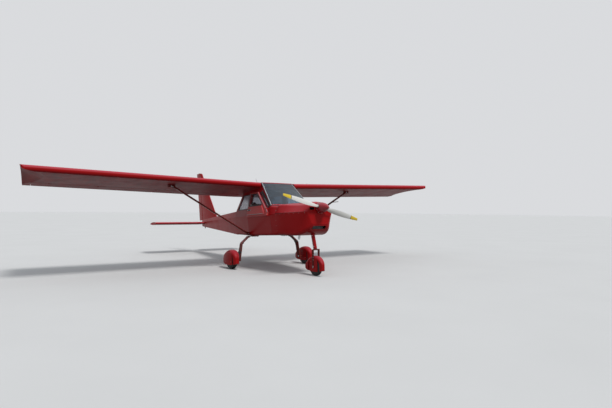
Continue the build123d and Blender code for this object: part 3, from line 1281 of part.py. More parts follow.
def make_parts():
    """Every piece of the aircraft under its name, in the level frame."""
    parts = {}
    parts["tail_boom"] = tail_boom()
    parts["cabin_tub"] = cabin_tub()
    for z in DOOR_HINGE_HEIGHTS:
        if z < WAIST_Z:
            arm = door_hinge_arm(z) - cabin_loft(0, low=True)
            parts["cabin_tub"] += arm + starboard(arm)
    side = cabin_side()
    parts["cabin_side_left"] = side
    parts["cabin_side_right"] = starboard(side)
    parts["firewall"] = firewall()
    parts["scuttle"] = scuttle()
    parts["cowling_upper"], parts["cowling_lower"] = cowling()
    parts["engine_block"] = engine_block()
    parts["engine_mount"] = engine_mount()
    parts["windshield"] = windshield()
    parts["centre_roof"] = roof()
    parts["roof_window"] = roof_window()
    parts["rear_window"] = rear_window()
    for name, outline in (("quarter_windows", QUARTER_WINDOW), ("rear_side_windows", REAR_SIDE_WINDOW)):
        pane = side_glass(outline)
        parts[name] = Compound(children=[pane, starboard(pane)])
    parts["wing_left"] = wing()
    parts["wing_right"] = starboard(parts["wing_left"])
    for name, y0, y1 in (("flap", FLAP_ROOT_Y, FLAP_TIP_Y), ("aileron", AILERON_ROOT_Y, AILERON_TIP_Y)):
        surface = wing_surface(y0, y1)
        parts[name + "_left"] = surface
        parts[name + "_right"] = starboard(surface)
    parts["strut_left"] = strut(parts["wing_left"])
    parts["strut_right"] = starboard(parts["strut_left"])
    parts["fin"] = fin()
    parts["rudder"] = rudder()
    parts["stabilator"] = stabilator()
    parts["trim_tab"] = trim_tab()
    panel, pane = door(), door_glass()
    parts["door_left"], parts["door_glass_left"] = panel, pane
    parts["door_right"], parts["door_glass_right"] = starboard(panel), starboard(pane)
    parts["spinner"] = spinner()
    parts["propeller"] = propeller()
    leg, fairing = main_leg(), main_spat()
    at_main = Pos(MAIN_AXLE_X, MAIN_TRACK_HALF, MAIN_AXLE_Z)
    tyre_main = at_main * tyre(MAIN_TYRE_RADIUS, MAIN_TYRE_WIDTH, MAIN_RIM_RADIUS)
    rim_main = at_main * rim(MAIN_RIM_RADIUS, MAIN_TYRE_WIDTH, AXLE_RADIUS)
    pairs = (("main_leg", leg), ("main_spat", fairing), ("main_tyre", tyre_main), ("main_rim", rim_main))
    for name, piece in pairs:
        parts[name + "_left"] = piece
        parts[name + "_right"] = starboard(piece)
    parts["nose_leg"] = nose_leg()
    parts["nose_fork"] = nose_fork()
    parts["nose_spat"] = nose_spat()
    at_nose = Pos(NOSE_AXLE_X, 0, NOSE_AXLE_Z)
    parts["nose_tyre"] = at_nose * tyre(NOSE_TYRE_RADIUS, NOSE_TYRE_WIDTH, NOSE_RIM_RADIUS)
    parts["nose_rim"] = at_nose * rim(NOSE_RIM_RADIUS, NOSE_TYRE_WIDTH, AXLE_RADIUS)
    inner, outer = SEAT_SPAN
    for name, y0, y1 in (("left", inner, outer), ("right", -outer, -inner)):
        soft, frame = seat_parts(y0, y1)
        parts["seat_" + name] = soft
        parts["seat_frame_" + name] = frame
    parts["instrument_panel"] = instrument_panel()
    parts["control_sticks"] = control_sticks()
    parts["exhaust"] = exhaust()
    parts["antenna"] = antenna()
    parts["tail_light"] = tail_light()
    parts["pitot_probe"] = pitot_probe(parts["strut_left"])
    return parts


def main():
    """Writes one STEP file for each piece."""
    os.makedirs("parts", exist_ok=True)
    for name, shape in make_parts().items():
        export_step(parked(shape), f"parts/{name}.step")


if __name__ == "__main__":
    main()
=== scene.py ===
"""Looks of the two-seat high-wing ultralight aircraft: paint, glazing, trim, cabin and gear details."""
import bpy
import bmesh
import json
import math
from mathutils import Matrix, Vector
from mathutils.bvhtree import BVHTree


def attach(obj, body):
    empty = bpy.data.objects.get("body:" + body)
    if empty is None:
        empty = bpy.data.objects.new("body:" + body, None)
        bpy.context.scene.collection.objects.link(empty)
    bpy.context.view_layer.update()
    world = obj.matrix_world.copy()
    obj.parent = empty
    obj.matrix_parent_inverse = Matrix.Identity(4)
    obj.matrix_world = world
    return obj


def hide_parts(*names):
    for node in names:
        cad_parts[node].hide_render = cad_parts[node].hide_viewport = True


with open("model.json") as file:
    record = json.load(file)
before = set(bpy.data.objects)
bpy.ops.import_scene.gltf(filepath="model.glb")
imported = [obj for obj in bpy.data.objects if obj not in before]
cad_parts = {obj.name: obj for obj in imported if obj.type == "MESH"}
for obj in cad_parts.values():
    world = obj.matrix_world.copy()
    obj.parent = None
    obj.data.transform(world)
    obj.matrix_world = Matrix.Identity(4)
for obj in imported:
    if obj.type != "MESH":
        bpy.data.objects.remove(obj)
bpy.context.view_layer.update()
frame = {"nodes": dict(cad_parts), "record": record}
NODES = frame["nodes"]

# Camera of the photograph
LENS_MM = 26.88
SENSOR_MM = 36.0
CAMERA_PLACE = Vector((9.794, -4.951, 1.2165))
CAMERA_HEADING_DEG = 34.245
CAMERA_PITCH_DEG = 0.764
CAMERA_ROLL_DEG = 0.44

# Level metres of the airframe, carried into the frame by a matrix: it stands nose up on its wheels
NOSE_UP = math.radians(3.2)
LEVEL = Matrix.Translation((1.47255, 0, 1.72156)) @ Matrix.Rotation(-NOSE_UP, 4, "Y")
LEVEL_BACK = LEVEL.inverted()
AHEAD, AFT = Vector((1, 0, 0)), Vector((-1, 0, 0))
PORT = Vector((0, 1, 0))
UP, DOWN = Vector((0, 0, 1)), Vector((0, 0, -1))
THRUST_AT = Vector((1.6, 0, -0.545))


# Materials

M = {}


class Nodes:
    """Short way to build a material, which is kept in M by its name, or a world."""

    def __init__(self, name, owners=bpy.data.materials):
        self.owner = owners.new(name)
        self.owner.use_nodes = True
        self.tree = self.owner.node_tree
        self.shader = self.tree.nodes.get("Principled BSDF")
        if self.shader:
            M[name] = self.owner

    def add(self, kind, **values):
        """Node with its settings, and its inputs by their names with underscores for spaces."""
        node = self.tree.nodes.new(kind)
        for key, value in values.items():
            if hasattr(node, key):
                setattr(node, key, value)
            else:
                node.inputs[key.replace("_", " ")].default_value = value
        return node

    def link(self, source, target):
        self.tree.links.new(source, target)

    def feed(self, name, source):
        """Links a socket to the shader's input."""
        self.link(source, self.shader.inputs[name])

    def set(self, **values):
        """Plain numbers for the shader's inputs."""
        for key, value in values.items():
            self.shader.inputs[key.replace("_", " ")].default_value = value

    def coords(self, scale=(1, 1, 1)):
        """Object coordinates, scaled."""
        mapping = self.add("ShaderNodeMapping", Scale=scale)
        self.link(self.add("ShaderNodeTexCoord").outputs["Object"], mapping.inputs["Vector"])
        return mapping.outputs["Vector"]

    def noise(self, scale, detail=4.0, rough=0.55, stretch=(1, 1, 1)):
        node = self.add("ShaderNodeTexNoise", Scale=scale, Detail=detail, Roughness=rough)
        self.link(self.coords(stretch), node.inputs["Vector"])
        return node.outputs["Fac"]

    def maths(self, operation, first, second):
        """Result of a sum on a socket and a second socket or number."""
        node = self.add("ShaderNodeMath", operation=operation)
        self.link(first, node.inputs[0])
        if isinstance(second, float):
            node.inputs[1].default_value = second
        else:
            self.link(second, node.inputs[1])
        return node.outputs[0]

    def ramp(self, source, low, high, a, b):
        """Maps a stretch of a value onto two colours."""
        node = self.add("ShaderNodeValToRGB")
        for stop, place, colour in zip(node.color_ramp.elements, (low, high), (a, b)):
            stop.position = place
            stop.color = (*colour, 1)
        self.link(source, node.inputs["Fac"])
        return node.outputs["Color"]

    def span(self, source, low, high, to_low, to_high):
        """Maps a stretch of a value onto another stretch."""
        node = self.add("ShaderNodeMapRange", From_Min=low, From_Max=high, To_Min=to_low, To_Max=to_high)
        self.link(source, node.inputs["Value"])
        return node.outputs["Result"]

    def mix(self, share, a, b):
        """Mix of two colours, each a socket or three numbers."""
        node = self.add("ShaderNodeMix", data_type="RGBA")
        self.link(share, node.inputs["Factor"])
        for socket, value in ((node.inputs[6], a), (node.inputs[7], b)):
            if isinstance(value, tuple):
                socket.default_value = (*value, 1)
            else:
                self.link(value, socket)
        return node.outputs[2]

    def bump(self, height, strength, distance):
        node = self.add("ShaderNodeBump", Strength=strength, Distance=distance)
        self.link(height, node.inputs["Height"])
        self.feed("Normal", node.outputs["Normal"])

    def facing_up(self, low, high):
        """0 to 1 as the surface turns to face up in the model's own frame."""
        split = self.add("ShaderNodeSeparateXYZ")
        self.link(self.add("ShaderNodeTexCoord").outputs["Normal"], split.inputs["Vector"])
        return self.span(split.outputs["Z"], low, high, 0.0, 1.0)


def toned(colour, share, more=0.0):
    """Colour times a share, plus a little."""
    return tuple(share * c + more for c in colour)


def paint(name, colour, rough=0.3, coat=0.05, gloss=0.07, top_highlight=(0.60, 0.10, 0.14), top_highlight_share=0.45, underside_shade=0.5):
    """Paint with faint orange peel, with a painted highlight where it faces the sky and painted shade, in
    uneven patches, where it faces the ground.
    """
    n = Nodes(name)
    base = n.ramp(n.noise(1.7, 3.0), 0.3, 0.7, toned(colour, 0.88), colour)
    # Painted highlight: faces turned up are mixed toward a lighter, pinker colour.
    base = n.mix(n.maths("MULTIPLY", n.facing_up(0.15, 0.9), top_highlight_share), base, top_highlight)
    # Painted shade: faces turned to the ground are darkened, more in some patches than in others.
    patchy_shade = n.span(n.noise(3.0, 5.0, 0.65, (1, 2.5, 1)), 0.25, 0.75, underside_shade * 0.6, min(1.0, underside_shade * 1.3))
    base = n.mix(n.maths("MULTIPLY", n.facing_up(-0.35, -0.9), patchy_shade), base, toned(colour, 0.22, 0.012))
    dust = n.noise(4.0, 5.0, 0.6)
    n.feed("Base Color", n.mix(n.span(dust, 0.55, 0.8, 0.0, 0.04), base, toned(colour, 0.6, 0.05)))
    n.feed("Roughness", n.span(dust, 0.4, 0.75, rough, rough + 0.10))
    n.set(Coat_Weight=coat, Coat_Roughness=0.06, Specular_IOR_Level=gloss)
    n.bump(n.noise(260.0, 2.0), 0.015, 0.001)


def metal(name, colour, rough, grain=(1, 1, 1), scale=60.0, bump=0.05):
    """Metal with fine grain, dull patches and a drift of colour."""
    n = Nodes(name)
    n.feed("Base Color", n.ramp(n.noise(6.0, 5.0, 0.65), 0.3, 0.7, toned(colour, 0.72), colour))
    n.feed("Roughness", n.span(n.noise(scale, 3.0, 0.6, grain), 0.3, 0.7, rough * 0.75, rough * 1.35))
    n.set(Metallic=1.0)
    n.bump(n.noise(scale * 4, 3.0, 0.6, grain), bump, 0.001)


def plastic(name, colour, rough, grain=420.0, bump=0.25, dust=0.25, pale=(0.32, 0.30, 0.27)):
    """Moulded plastic, rubber or powder coat with a fine pebbled face and dust in the hollows."""
    n = Nodes(name)
    cloud = n.noise(14.0, 5.0, 0.7)
    base = n.ramp(cloud, 0.3, 0.7, toned(colour, 0.8), colour)
    n.feed("Base Color", n.mix(n.span(cloud, 0.5, 0.85, 0.0, dust), base, pale))
    n.feed("Roughness", n.span(cloud, 0.3, 0.8, rough * 0.85, min(1.0, rough * 1.25)))
    cell = n.add("ShaderNodeTexVoronoi", Scale=grain)
    n.link(n.coords(), cell.inputs["Vector"])
    n.bump(cell.outputs["Distance"], bump, 0.0006)


def glazing(name, tint, haze, film=0.0):
    """Clear sheet with a tint, wiping marks and a film of dust."""
    n = Nodes(name)
    wipes = n.noise(5.0, 6.0, 0.7, (1, 3, 1))
    n.feed("Base Color", n.ramp(wipes, 0.3, 0.8, tint, tuple(min(1.0, c + 0.05) for c in tint)))
    n.feed("Roughness", n.span(wipes, 0.35, 0.85, haze * 0.4, haze))
    n.feed("Transmission Weight", n.span(wipes, 0.3, 0.8, 1.0 - film * 0.5, 1.0 - film))
    n.set(IOR=1.45)
    n.bump(n.noise(2.2, 2.0), 0.02, 0.01)


def blade_paint(name):
    """White blades with a yellow tip behind a thin dark line, by the distance from the thrust line."""
    n = Nodes(name)
    away, across, length = (n.add("ShaderNodeVectorMath", operation=operation)
                            for operation in ("SUBTRACT", "CROSS_PRODUCT", "LENGTH"))
    away.inputs[1].default_value = LEVEL @ THRUST_AT
    across.inputs[1].default_value = (math.cos(NOSE_UP), 0, math.sin(NOSE_UP))
    n.link(n.coords(), away.inputs[0])
    n.link(away.outputs[0], across.inputs[0])
    n.link(across.outputs[0], length.inputs[0])
    reach = n.add("ShaderNodeValToRGB")
    n.link(length.outputs["Value"], reach.inputs["Fac"])
    bands = reach.color_ramp
    bands.interpolation = "CONSTANT"
    dark, white, yellow = (0.05, 0.05, 0.055), (0.80, 0.80, 0.78), (0.85, 0.60, 0.02)
    for i, (place, colour) in enumerate(((0.0, dark), (0.066, white), (0.683, dark), (0.695, yellow))):
        stop = bands.elements[i] if i < 2 else bands.elements.new(place)
        stop.position = place
        stop.color = (*colour, 1)
    specks = n.noise(90.0, 6.0, 0.75)
    chips = n.span(specks, 0.62, 0.8, 0.0, 0.5)
    n.feed("Base Color", n.mix(chips, reach.outputs["Color"], (0.30, 0.28, 0.25)))
    n.feed("Roughness", n.span(specks, 0.3, 0.8, 0.22, 0.5))
    n.set(Coat_Weight=0.3, Coat_Roughness=0.1)
    n.bump(n.noise(300.0, 2.0), 0.03, 0.001)


def weave(name, colour, other, scale=900.0, sheen=0.4):
    """Woven cloth: thread waves along three axes, with colour drift and sheen."""
    n = Nodes(name)
    waves = []
    for direction in "XYZ":
        wave = n.add("ShaderNodeTexWave", wave_type="BANDS", bands_direction=direction, Scale=scale / 6.283,
                     Distortion=0.6, Detail=1.0)
        n.link(n.coords(), wave.inputs["Vector"])
        waves.append(wave.outputs["Fac"])
    threads = n.span(n.maths("ADD", n.maths("ADD", waves[0], waves[1]), waves[2]), 0.4, 2.6, 0.0, 1.0)
    cloud = n.noise(11.0, 5.0, 0.65)
    base = n.ramp(threads, 0.1, 0.9, toned(colour, 0.6), colour)
    n.feed("Base Color", n.mix(n.span(cloud, 0.35, 0.75, 0.0, 0.6), base, other))
    n.feed("Roughness", n.span(cloud, 0.3, 0.7, 0.75, 0.95))
    n.set(Sheen_Weight=sheen, Sheen_Roughness=0.5)
    n.bump(threads, 0.35, 0.0008)


RED = (0.42, 0.008, 0.010)
paint("red_paint", RED)
# Wing paint: stronger painted highlight on faces turned up and stronger painted shade on faces turned down.
paint("wing_paint", RED, rough=0.42, coat=0.0, gloss=0.08, top_highlight_share=0.75, underside_shade=0.75)
# Lighter red on the doors: a painted highlight for the sky's reflection in their bulged panels.
paint("door_paint", (0.62, 0.085, 0.085))
paint("cabin_frame", (0.36, 0.006, 0.010))
paint("spinner_paint", (0.34, 0.008, 0.018), rough=0.2, coat=0.2, gloss=0.3)
glazing("screen_glazing", (0.15, 0.22, 0.30), 0.05, 0.22)
glazing("clear_glazing", (0.80, 0.86, 0.88), 0.05)
glazing("rear_glazing", (0.72, 0.72, 0.80), 0.25, 0.6)
blade_paint("prop_blades")
metal("gear_steel", (0.30, 0.31, 0.33), 0.42)
plastic("dark_metal", (0.035, 0.036, 0.04), 0.38, 300.0, 0.12, 0.15)
metal("bare_metal", (0.62, 0.63, 0.65), 0.28)
metal("fastener", (0.30, 0.27, 0.26), 0.4)
plastic("tyre_rubber", (0.022, 0.022, 0.023), 0.75, 500.0, 0.3, 0.35, (0.16, 0.15, 0.13))
metal("rim_metal", (0.66, 0.66, 0.68), 0.33)
metal("engine_metal", (0.30, 0.30, 0.31), 0.5, scale=40.0, bump=0.12)
metal("firewall_metal", (0.50, 0.51, 0.52), 0.35, (1, 8, 1))
weave("seat_cover", (0.075, 0.078, 0.085), (0.045, 0.046, 0.05))
plastic("seat_base", (0.05, 0.05, 0.055), 0.45, 260.0, 0.2)
plastic("panel_black", (0.022, 0.022, 0.024), 0.6, 700.0, 0.35, 0.12)
plastic("white_plastic", (0.78, 0.78, 0.76), 0.35, 300.0, 0.08, 0.3, (0.5, 0.48, 0.44))
plastic("seam_dark", (0.06, 0.012, 0.012), 0.6, 300.0, 0.1, 0.2)
plastic("seal_rubber", (0.03, 0.03, 0.032), 0.6, 300.0, 0.15, 0.2)
metal("core_metal", (0.22, 0.22, 0.22), 0.45, scale=90.0)
paint("strut_paint", (0.15, 0.018, 0.014), top_highlight_share=0.2)
paint("leg_paint", (0.19, 0.03, 0.022), top_highlight_share=0.2)
paint("pale_trim", (0.40, 0.41, 0.44), top_highlight=(0.5, 0.51, 0.54))
weave("webbing", (0.10, 0.10, 0.11), (0.06, 0.06, 0.065), 1400.0, 0.2)

for item in frame["record"]["subparts"]:
    node = NODES[item["node"]]
    node.data.materials.clear()
    node.data.materials.append(M[item["material_slot"]])
for key, names in (("strut_paint", ("strut_left", "strut_right", "nose_fork")), ("red_paint", ("nose_leg",)),
                   ("leg_paint", ("main_leg_left", "main_leg_right")), ("screen_glazing", ("windshield",)),
                   ("wing_paint", ("stabilator", "trim_tab"))):
    for node in names:
        NODES[node].data.materials[0] = M[key]


# Shapes

TREES = {}
SIDES = (("left", 1), ("right", -1))
ABOVE_AND_BELOW = ((0.5, DOWN), (-0.6, UP))
RIVET = 0.0032
SEAM_LIFT = 0.0004


def cast(node, start, toward):
    """Where a line from a level place first meets a node: (place, normal), or None."""
    if node not in TREES:
        mesh = NODES[node].data
        faces = [tuple(p.vertices) for p in mesh.polygons]
        TREES[node] = BVHTree.FromPolygons([v.co for v in mesh.vertices], faces)
    ahead = LEVEL.to_3x3() @ Vector(toward)
    hit, normal, _, _ = TREES[node].ray_cast(LEVEL @ Vector(start), ahead.normalized())
    if hit is None:
        return None
    if normal.dot(ahead) > 0:
        normal = -normal
    return LEVEL_BACK @ hit, LEVEL_BACK.to_3x3() @ normal


def turns(count, start=0.0):
    """Even angles round a circle, the first one that share of a step on."""
    return [2 * math.pi * (k + start) / count for k in range(count)]


def steps(start, end, pitch):
    """Evenly spaced numbers from a start to short of an end."""
    return [start + pitch * k for k in range(math.ceil((end - start) / pitch))]


def circle(place, side, other, radius, sides, flat=1.0):
    """Places round a circle, or round a flattened one."""
    return [place + side * (radius * math.cos(a)) + other * (radius * flat * math.sin(a))
            for a in turns(sides)]


def square_to(side, axis):
    """Direction as near to a side vector as one square to the axis can be."""
    return (side - axis * side.dot(axis)).normalized()


class Shape:
    """Faces of one piece, gathered in level airframe metres."""

    def __init__(self):
        self.verts, self.faces, self.kinds = [], [], []

    def add(self, verts, faces, kind=0):
        start = len(self.verts)
        self.verts += [Vector(v) for v in verts]
        self.faces += [tuple(start + i for i in face) for face in faces]
        self.kinds += [kind] * len(faces)

    def bands(self, rings, kind=0, closed=False, ends=(True, True)):
        """Skin through rings of as many places each: a closed loop, or a run with its ends shut."""
        sides, total = len(rings[0]), len(rings)
        faces = []
        for i in range(total if closed else total - 1):
            a, b = i * sides, (i + 1) % total * sides
            faces += [(a + k, a + (k + 1) % sides, b + (k + 1) % sides, b + k) for k in range(sides)]
        if ends[0] and not closed:
            faces.append(tuple(range(sides))[::-1])
        if ends[1] and not closed:
            faces.append(tuple(range((total - 1) * sides, total * sides)))
        self.add([place for ring in rings for place in ring], faces, kind)

    def box(self, low, high, kind=0):
        """Box between two corners."""
        (x0, y0, z0), (x1, y1, z1) = low, high
        self.bands([[(x, y0, z0), (x, y0, z1), (x, y1, z1), (x, y1, z0)] for x in (x0, x1)], kind)

    def tube(self, points, radius, sides=10, kind=0, flat=1.0):
        """Round or flattened bar along a path, without twist and closed at both ends."""
        points = [Vector(p) for p in points]
        rings = []
        side = None
        for i, place in enumerate(points):
            ahead = (points[min(i + 1, len(points) - 1)] - points[max(i - 1, 0)]).normalized()
            side = ahead.orthogonal().normalized() if side is None else square_to(side, ahead)
            rings.append(circle(place, side, ahead.cross(side), radius, sides, flat))
        self.bands(rings, kind)

    def ring(self, points, radius, sides):
        """Closed loop of round bar through the points."""
        middle = sum(points, Vector()) / len(points)
        rings = []
        for i, place in enumerate(points):
            ahead = (points[(i + 1) % len(points)] - points[i - 1]).normalized()
            side = square_to(place - middle, ahead)
            rings.append(circle(place, side, ahead.cross(side), radius, sides))
        self.bands(rings, closed=True)

    def lathe(self, profile, place, axis, sides=32, kind=0):
        """Turned form: (distance along the axis, radius) rows from one closed end to the other."""
        place, axis = Vector(place), Vector(axis).normalized()
        side = axis.orthogonal().normalized()
        other = axis.cross(side)
        rings = [circle(place + axis * along, side, other, radius, sides) for along, radius in profile]
        self.bands(rings, kind)

    def collar(self, profile, place, axis, sides, kind=0):
        """Turned loop: (distance along the axis, radius) rows that close on themselves."""
        place, axis = Vector(place), Vector(axis).normalized()
        side = axis.orthogonal().normalized()
        rings = []
        for a in turns(sides):
            spoke = side * math.cos(a) + axis.cross(side) * math.sin(a)
            rings.append([place + axis * along + spoke * radius for along, radius in profile])
        self.bands(rings, kind, closed=True)

    def head(self, place, normal, radius, kind=0, sides=8):
        """Low domed head of a rivet or screw, sunk a little into its surface."""
        height = radius * 0.45
        rows = ((-0.0006, radius), (height * 0.5, radius * 0.92), (height, radius * 0.5))
        self.lathe(rows, place, normal, sides, kind)

    def heads(self, node, start, end, toward, pitch, radius, kind=0, sides=8):
        """Row of heads on a node's surface between two places, seen along a direction."""
        start, end = Vector(start), Vector(end)
        count = max(1, round((end - start).length / pitch))
        for i in range(count + 1):
            hit = cast(node, start.lerp(end, i / count), toward)
            if hit:
                self.head(*hit, radius, kind, sides)

    def deck_rivets(self, node, lines, sign, pitch, levels=ABOVE_AND_BELOW):
        """Rivet rows on a node's top and underside, along (x, y, x, y) lines of one side."""
        for z, toward in levels:
            for x0, y0, x1, y1 in lines:
                self.heads(node, (x0, sign * y0, z), (x1, sign * y1, z), toward, pitch, RIVET, sides=6)

    def side_rivets(self, node, lines, pitch):
        """Rivet rows on a node's port and starboard sides, along (x, z, x, z) lines."""
        for sign in (1, -1):
            for x0, z0, x1, z1 in lines:
                self.heads(node, (x0, sign, z0), (x1, sign, z1), PORT * -sign, pitch, RIVET, sides=6)

    def strip(self, node, points, toward, width, lift=0.0006, kind=0, closed=False, step=0.06):
        """Thin raised strip that follows a node's surface along a path."""
        points = [Vector(p) for p in points]
        path = []
        for a, b in zip(points, points[1:] + points[:1] * closed):
            cuts = max(1, round((b - a).length / step))
            path += [a.lerp(b, k / cuts) for k in range(cuts)]
        if not closed:
            path.append(points[-1])
        rows = [hit for hit in (cast(node, place, toward) for place in path) if hit]
        last = len(rows) - 1
        rings = []
        for i, (place, normal) in enumerate(rows):
            after = rows[(i + 1) % len(rows)] if closed else rows[min(i + 1, last)]
            before = rows[i - 1] if closed or i else rows[0]
            side = (after[0] - before[0]).normalized().cross(normal).normalized() * width / 2
            top, foot = normal * lift, normal * 0.001
            rings.append([place - side - foot, place - side + top, place + side + top, place + side - foot])
        self.bands(rings, kind, closed)

    def seam(self, node, points, toward, width, step, kind=1, closed=False):
        """Line where two sheets of a node's skin meet."""
        self.strip(node, points, toward, width, SEAM_LIFT, kind, closed, step)

    def make(self, name, *looks, body="airframe", slot=None, smooth=35, bevel=0.0):
        """Blender object of the gathered faces, riding on a body. The slot argument is not used."""
        mesh = bpy.data.meshes.new(name)
        mesh.from_pydata([tuple(LEVEL @ v) for v in self.verts], [], self.faces)
        for look in looks:
            mesh.materials.append(M[look])
        mesh.polygons.foreach_set("material_index", self.kinds)
        face_outwards(mesh)
        piece = add_object(name, mesh)
        mesh.polygons.foreach_set("use_smooth", [True] * len(mesh.polygons))
        mesh.set_sharp_from_angle(angle=math.radians(smooth))
        if bevel:
            edge = piece.modifiers.new("bevel", "BEVEL")
            edge.width = bevel
            edge.segments = 2
            edge.limit_method = "ANGLE"
        slot = slot or looks[0]
        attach(piece, body)
        return piece


def face_outwards(mesh, bevel=0.0):
    """Turns a mesh's faces outwards, and rounds all its edges if a bevel is given."""
    tidy = bmesh.new()
    tidy.from_mesh(mesh)
    bmesh.ops.recalc_face_normals(tidy, faces=tidy.faces)
    if bevel:
        bmesh.ops.bevel(tidy, geom=tidy.edges[:], offset=bevel, segments=3, affect="EDGES", profile=0.6)
    tidy.to_mesh(mesh)
    tidy.free()


def add_object(name, data):
    """New object in the scene."""
    item = bpy.data.objects.new(name, data)
    bpy.context.scene.collection.objects.link(item)
    return item


def corners(points):
    """Each point of a closed outline, between the ones before and after it."""
    points = [Vector(p) for p in points]
    return zip(points[-1:] + points[:-1], points, points[1:] + points[:1])


def outline_loop(points, radius, steps=5):
    """Closed flat outline with rounded corners, as a list of points."""
    loop = []
    for before, here, after in corners(points):
        a, b = (before - here).normalized(), (after - here).normalized()
        half = a.angle(b) / 2
        reach = min(radius / math.tan(half), 0.45 * min((before - here).length, (after - here).length))
        start, end = here + a * reach, here + b * reach
        for k in range(steps + 1):
            t = k / steps
            loop.append(start * (1 - t) ** 2 + here * 2 * t * (1 - t) + end * t ** 2)
    return loop


def grown(points, amount):
    """Closed flat outline moved outwards by an amount."""
    middle = sum((Vector(p) for p in points), Vector((0, 0))) / len(points)
    out = []
    for before, here, after in corners(points):
        normals = []
        for a, b in ((before, here), (here, after)):
            n = Vector((b.y - a.y, a.x - b.x)).normalized()
            normals.append(n if n.dot((a + b) / 2 - middle) > 0 else -n)
        first, second = normals
        out.append(here + (first + second) * (amount / max(0.3, 1 + first.dot(second))))
    return out


# Airframe details

WING_ROOT, WING_TIP = 0.43, 4.56
SPAR_LINES = (-0.13, -0.42, -0.93)
SPAR_SEAM_X = -0.403
RIB_PITCH = 0.36
FLAP_SPAN, AILERON_SPAN = (0.44, 2.23), (2.27, 4.40)


def wing_rivets():
    """Rivet rows over the spars and ribs, and the seams of the skin sheets."""
    spars = [(x, WING_ROOT, x, WING_TIP - 0.12) for x in SPAR_LINES]
    ribs = [(-0.06, y, -0.97, y) for y in steps(WING_ROOT + 0.01, WING_TIP - 0.1, RIB_PITCH)]
    seams = [(SPAR_SEAM_X, WING_ROOT, SPAR_SEAM_X, WING_TIP - 0.1, 0.3)]
    seams += [(-0.04, y, -0.98, y, 0.05) for y in (1.52, 2.96)]
    for side, sign in SIDES:
        node = "wing_" + side
        shape = Shape()
        shape.deck_rivets(node, spars + ribs, sign, 0.06)
        for z, toward in ABOVE_AND_BELOW:
            for x0, y0, x1, y1, step in seams:
                shape.seam(node, [(x0, sign * y0, z), (x1, sign * y1, z)], toward, 0.0025, step)
        shape.make("wing_rivets_" + side, "wing_paint", "seam_dark")
        for part, (y0, y1) in (("flap", FLAP_SPAN), ("aileron", AILERON_SPAN)):
            moving = Shape()
            node = part + "_" + side
            moving.deck_rivets(node, [(x, y0, x, y1) for x in (-1.09, -1.36)], sign, 0.06)
            moving.deck_rivets(node, [(-1.12, y, -1.34, y) for y in steps(y0 + 0.04, y1, 0.3)], sign, 0.055)
            moving.make(part + "_rivets_" + side, "wing_paint", body=node)


def fuel_caps():
    """Filler cap on each wing, with its recess ring and grip."""
    shape = Shape()
    rows = ((-0.002, 0.045), (0.002, 0.045), (0.003, 0.042), (0.003, 0.036), (0.006, 0.034), (0.007, 0.03))
    for side, sign in SIDES:
        place, normal = cast("wing_" + side, (-0.3, sign * 0.95, 0.5), DOWN)
        shape.lathe(rows, place, normal)
        bar = place + normal * 0.009
        shape.tube([bar - PORT * 0.026, bar + PORT * 0.026], 0.005, 8, 0, 0.8)
    shape.make("fuel_caps", "bare_metal")


def wing_root_seals():
    """Dark gap seals along the wing roots, over the centre section's edges."""
    shape = Shape()
    for sign in (1, -1):
        line = [(x, sign * 0.4, 0.5) for x in (-0.075, -1.03)]
        shape.strip("centre_roof", line, DOWN, 0.014, 0.0012, step=0.05)
    shape.make("wing_root_seals", "seal_rubber", slot="panel_black")


def strut_details():
    """Bolts through both ends of the struts."""
    shape = Shape()
    rows = ((0, 0.009), (0.001, 0.009), (0.001, 0.0065), (0.006, 0.0065), (0.007, 0.005))
    for sign in (1, -1):
        for x, y, z in ((-0.466, 0.475, -0.993), (-0.385, 2.13, -0.052), (-0.385, 2.16, -0.042)):
            for face in (1, -1):
                shape.lathe(rows, (x + face * 0.008, sign * y, z), AHEAD * face, 6)
    shape.make("strut_bolts", "bare_metal")


BOOM_START_X, BOOM_END_X = -1.2, -4.165
BOOM_FRAMES = (-1.235, -1.6, -2.05, -2.5, -2.95, -3.4, -3.85, -4.1)


def boom_share(x):
    """0 at the tail cone's front and 1 at its rear."""
    return (x - BOOM_START_X) / (BOOM_END_X - BOOM_START_X)


def boom_line(x0, share0, x1, share1):
    """Row (x, z, x, z) on the tail cone's side, between two shares of the way from its edge to its deck."""
    row = []
    for x, share in ((x0, share0), (x1, share1)):
        t = boom_share(x)
        bottom, deck = -1.008 + t * 0.25, -0.486 - t * 0.092
        row += [x, bottom + (deck - bottom) * share]
    return row


def fuselage_rivets():
    """Rivet rows and sheet seams of the tail cone and the cabin's lower half."""
    shape = Shape()
    rows = [boom_line(-1.22, share, -4.13, share) for share in (0.045, 0.47, 0.9)]
    rows += [boom_line(x, 0.07, x, 0.97) for x in BOOM_FRAMES]
    shape.side_rivets("tail_boom", rows, 0.045)
    rows = [(x, -1.0, x, -0.65) for x in (0.63, 0.46, -0.5, -1.18)]
    rows += [(0.62, z, -1.17, z) for z in (-0.995, -0.69)]
    shape.side_rivets("cabin_tub", rows, 0.045)
    seams = [("tail_boom", boom_line(x, 0.01, x, 0.99)) for x in (-1.215, -2.52, -3.42)]
    seams.append(("cabin_tub", (0.48, -1.01, 0.48, -0.63)))
    for node, (x0, z0, x1, z1) in seams:
        for sign in (1, -1):
            shape.seam(node, [(x0, sign, z0), (x1, sign, z1)], PORT * -sign, 0.003, 0.03)
    rows = [(0.6, y, -1.15, y) for y in (-0.3, 0.0, 0.3)]
    shape.deck_rivets("cabin_tub", rows, 1, 0.05, ((-1.5, UP),))
    for x in BOOM_FRAMES:
        reach = 0.37 * (1 - boom_share(x)) + 0.04
        shape.deck_rivets("tail_boom", [(x, -reach, x, reach)], 1, 0.045, ((0.5, DOWN), (-1.5, UP)))
    shape.make("fuselage_rivets", "red_paint", "seam_dark")


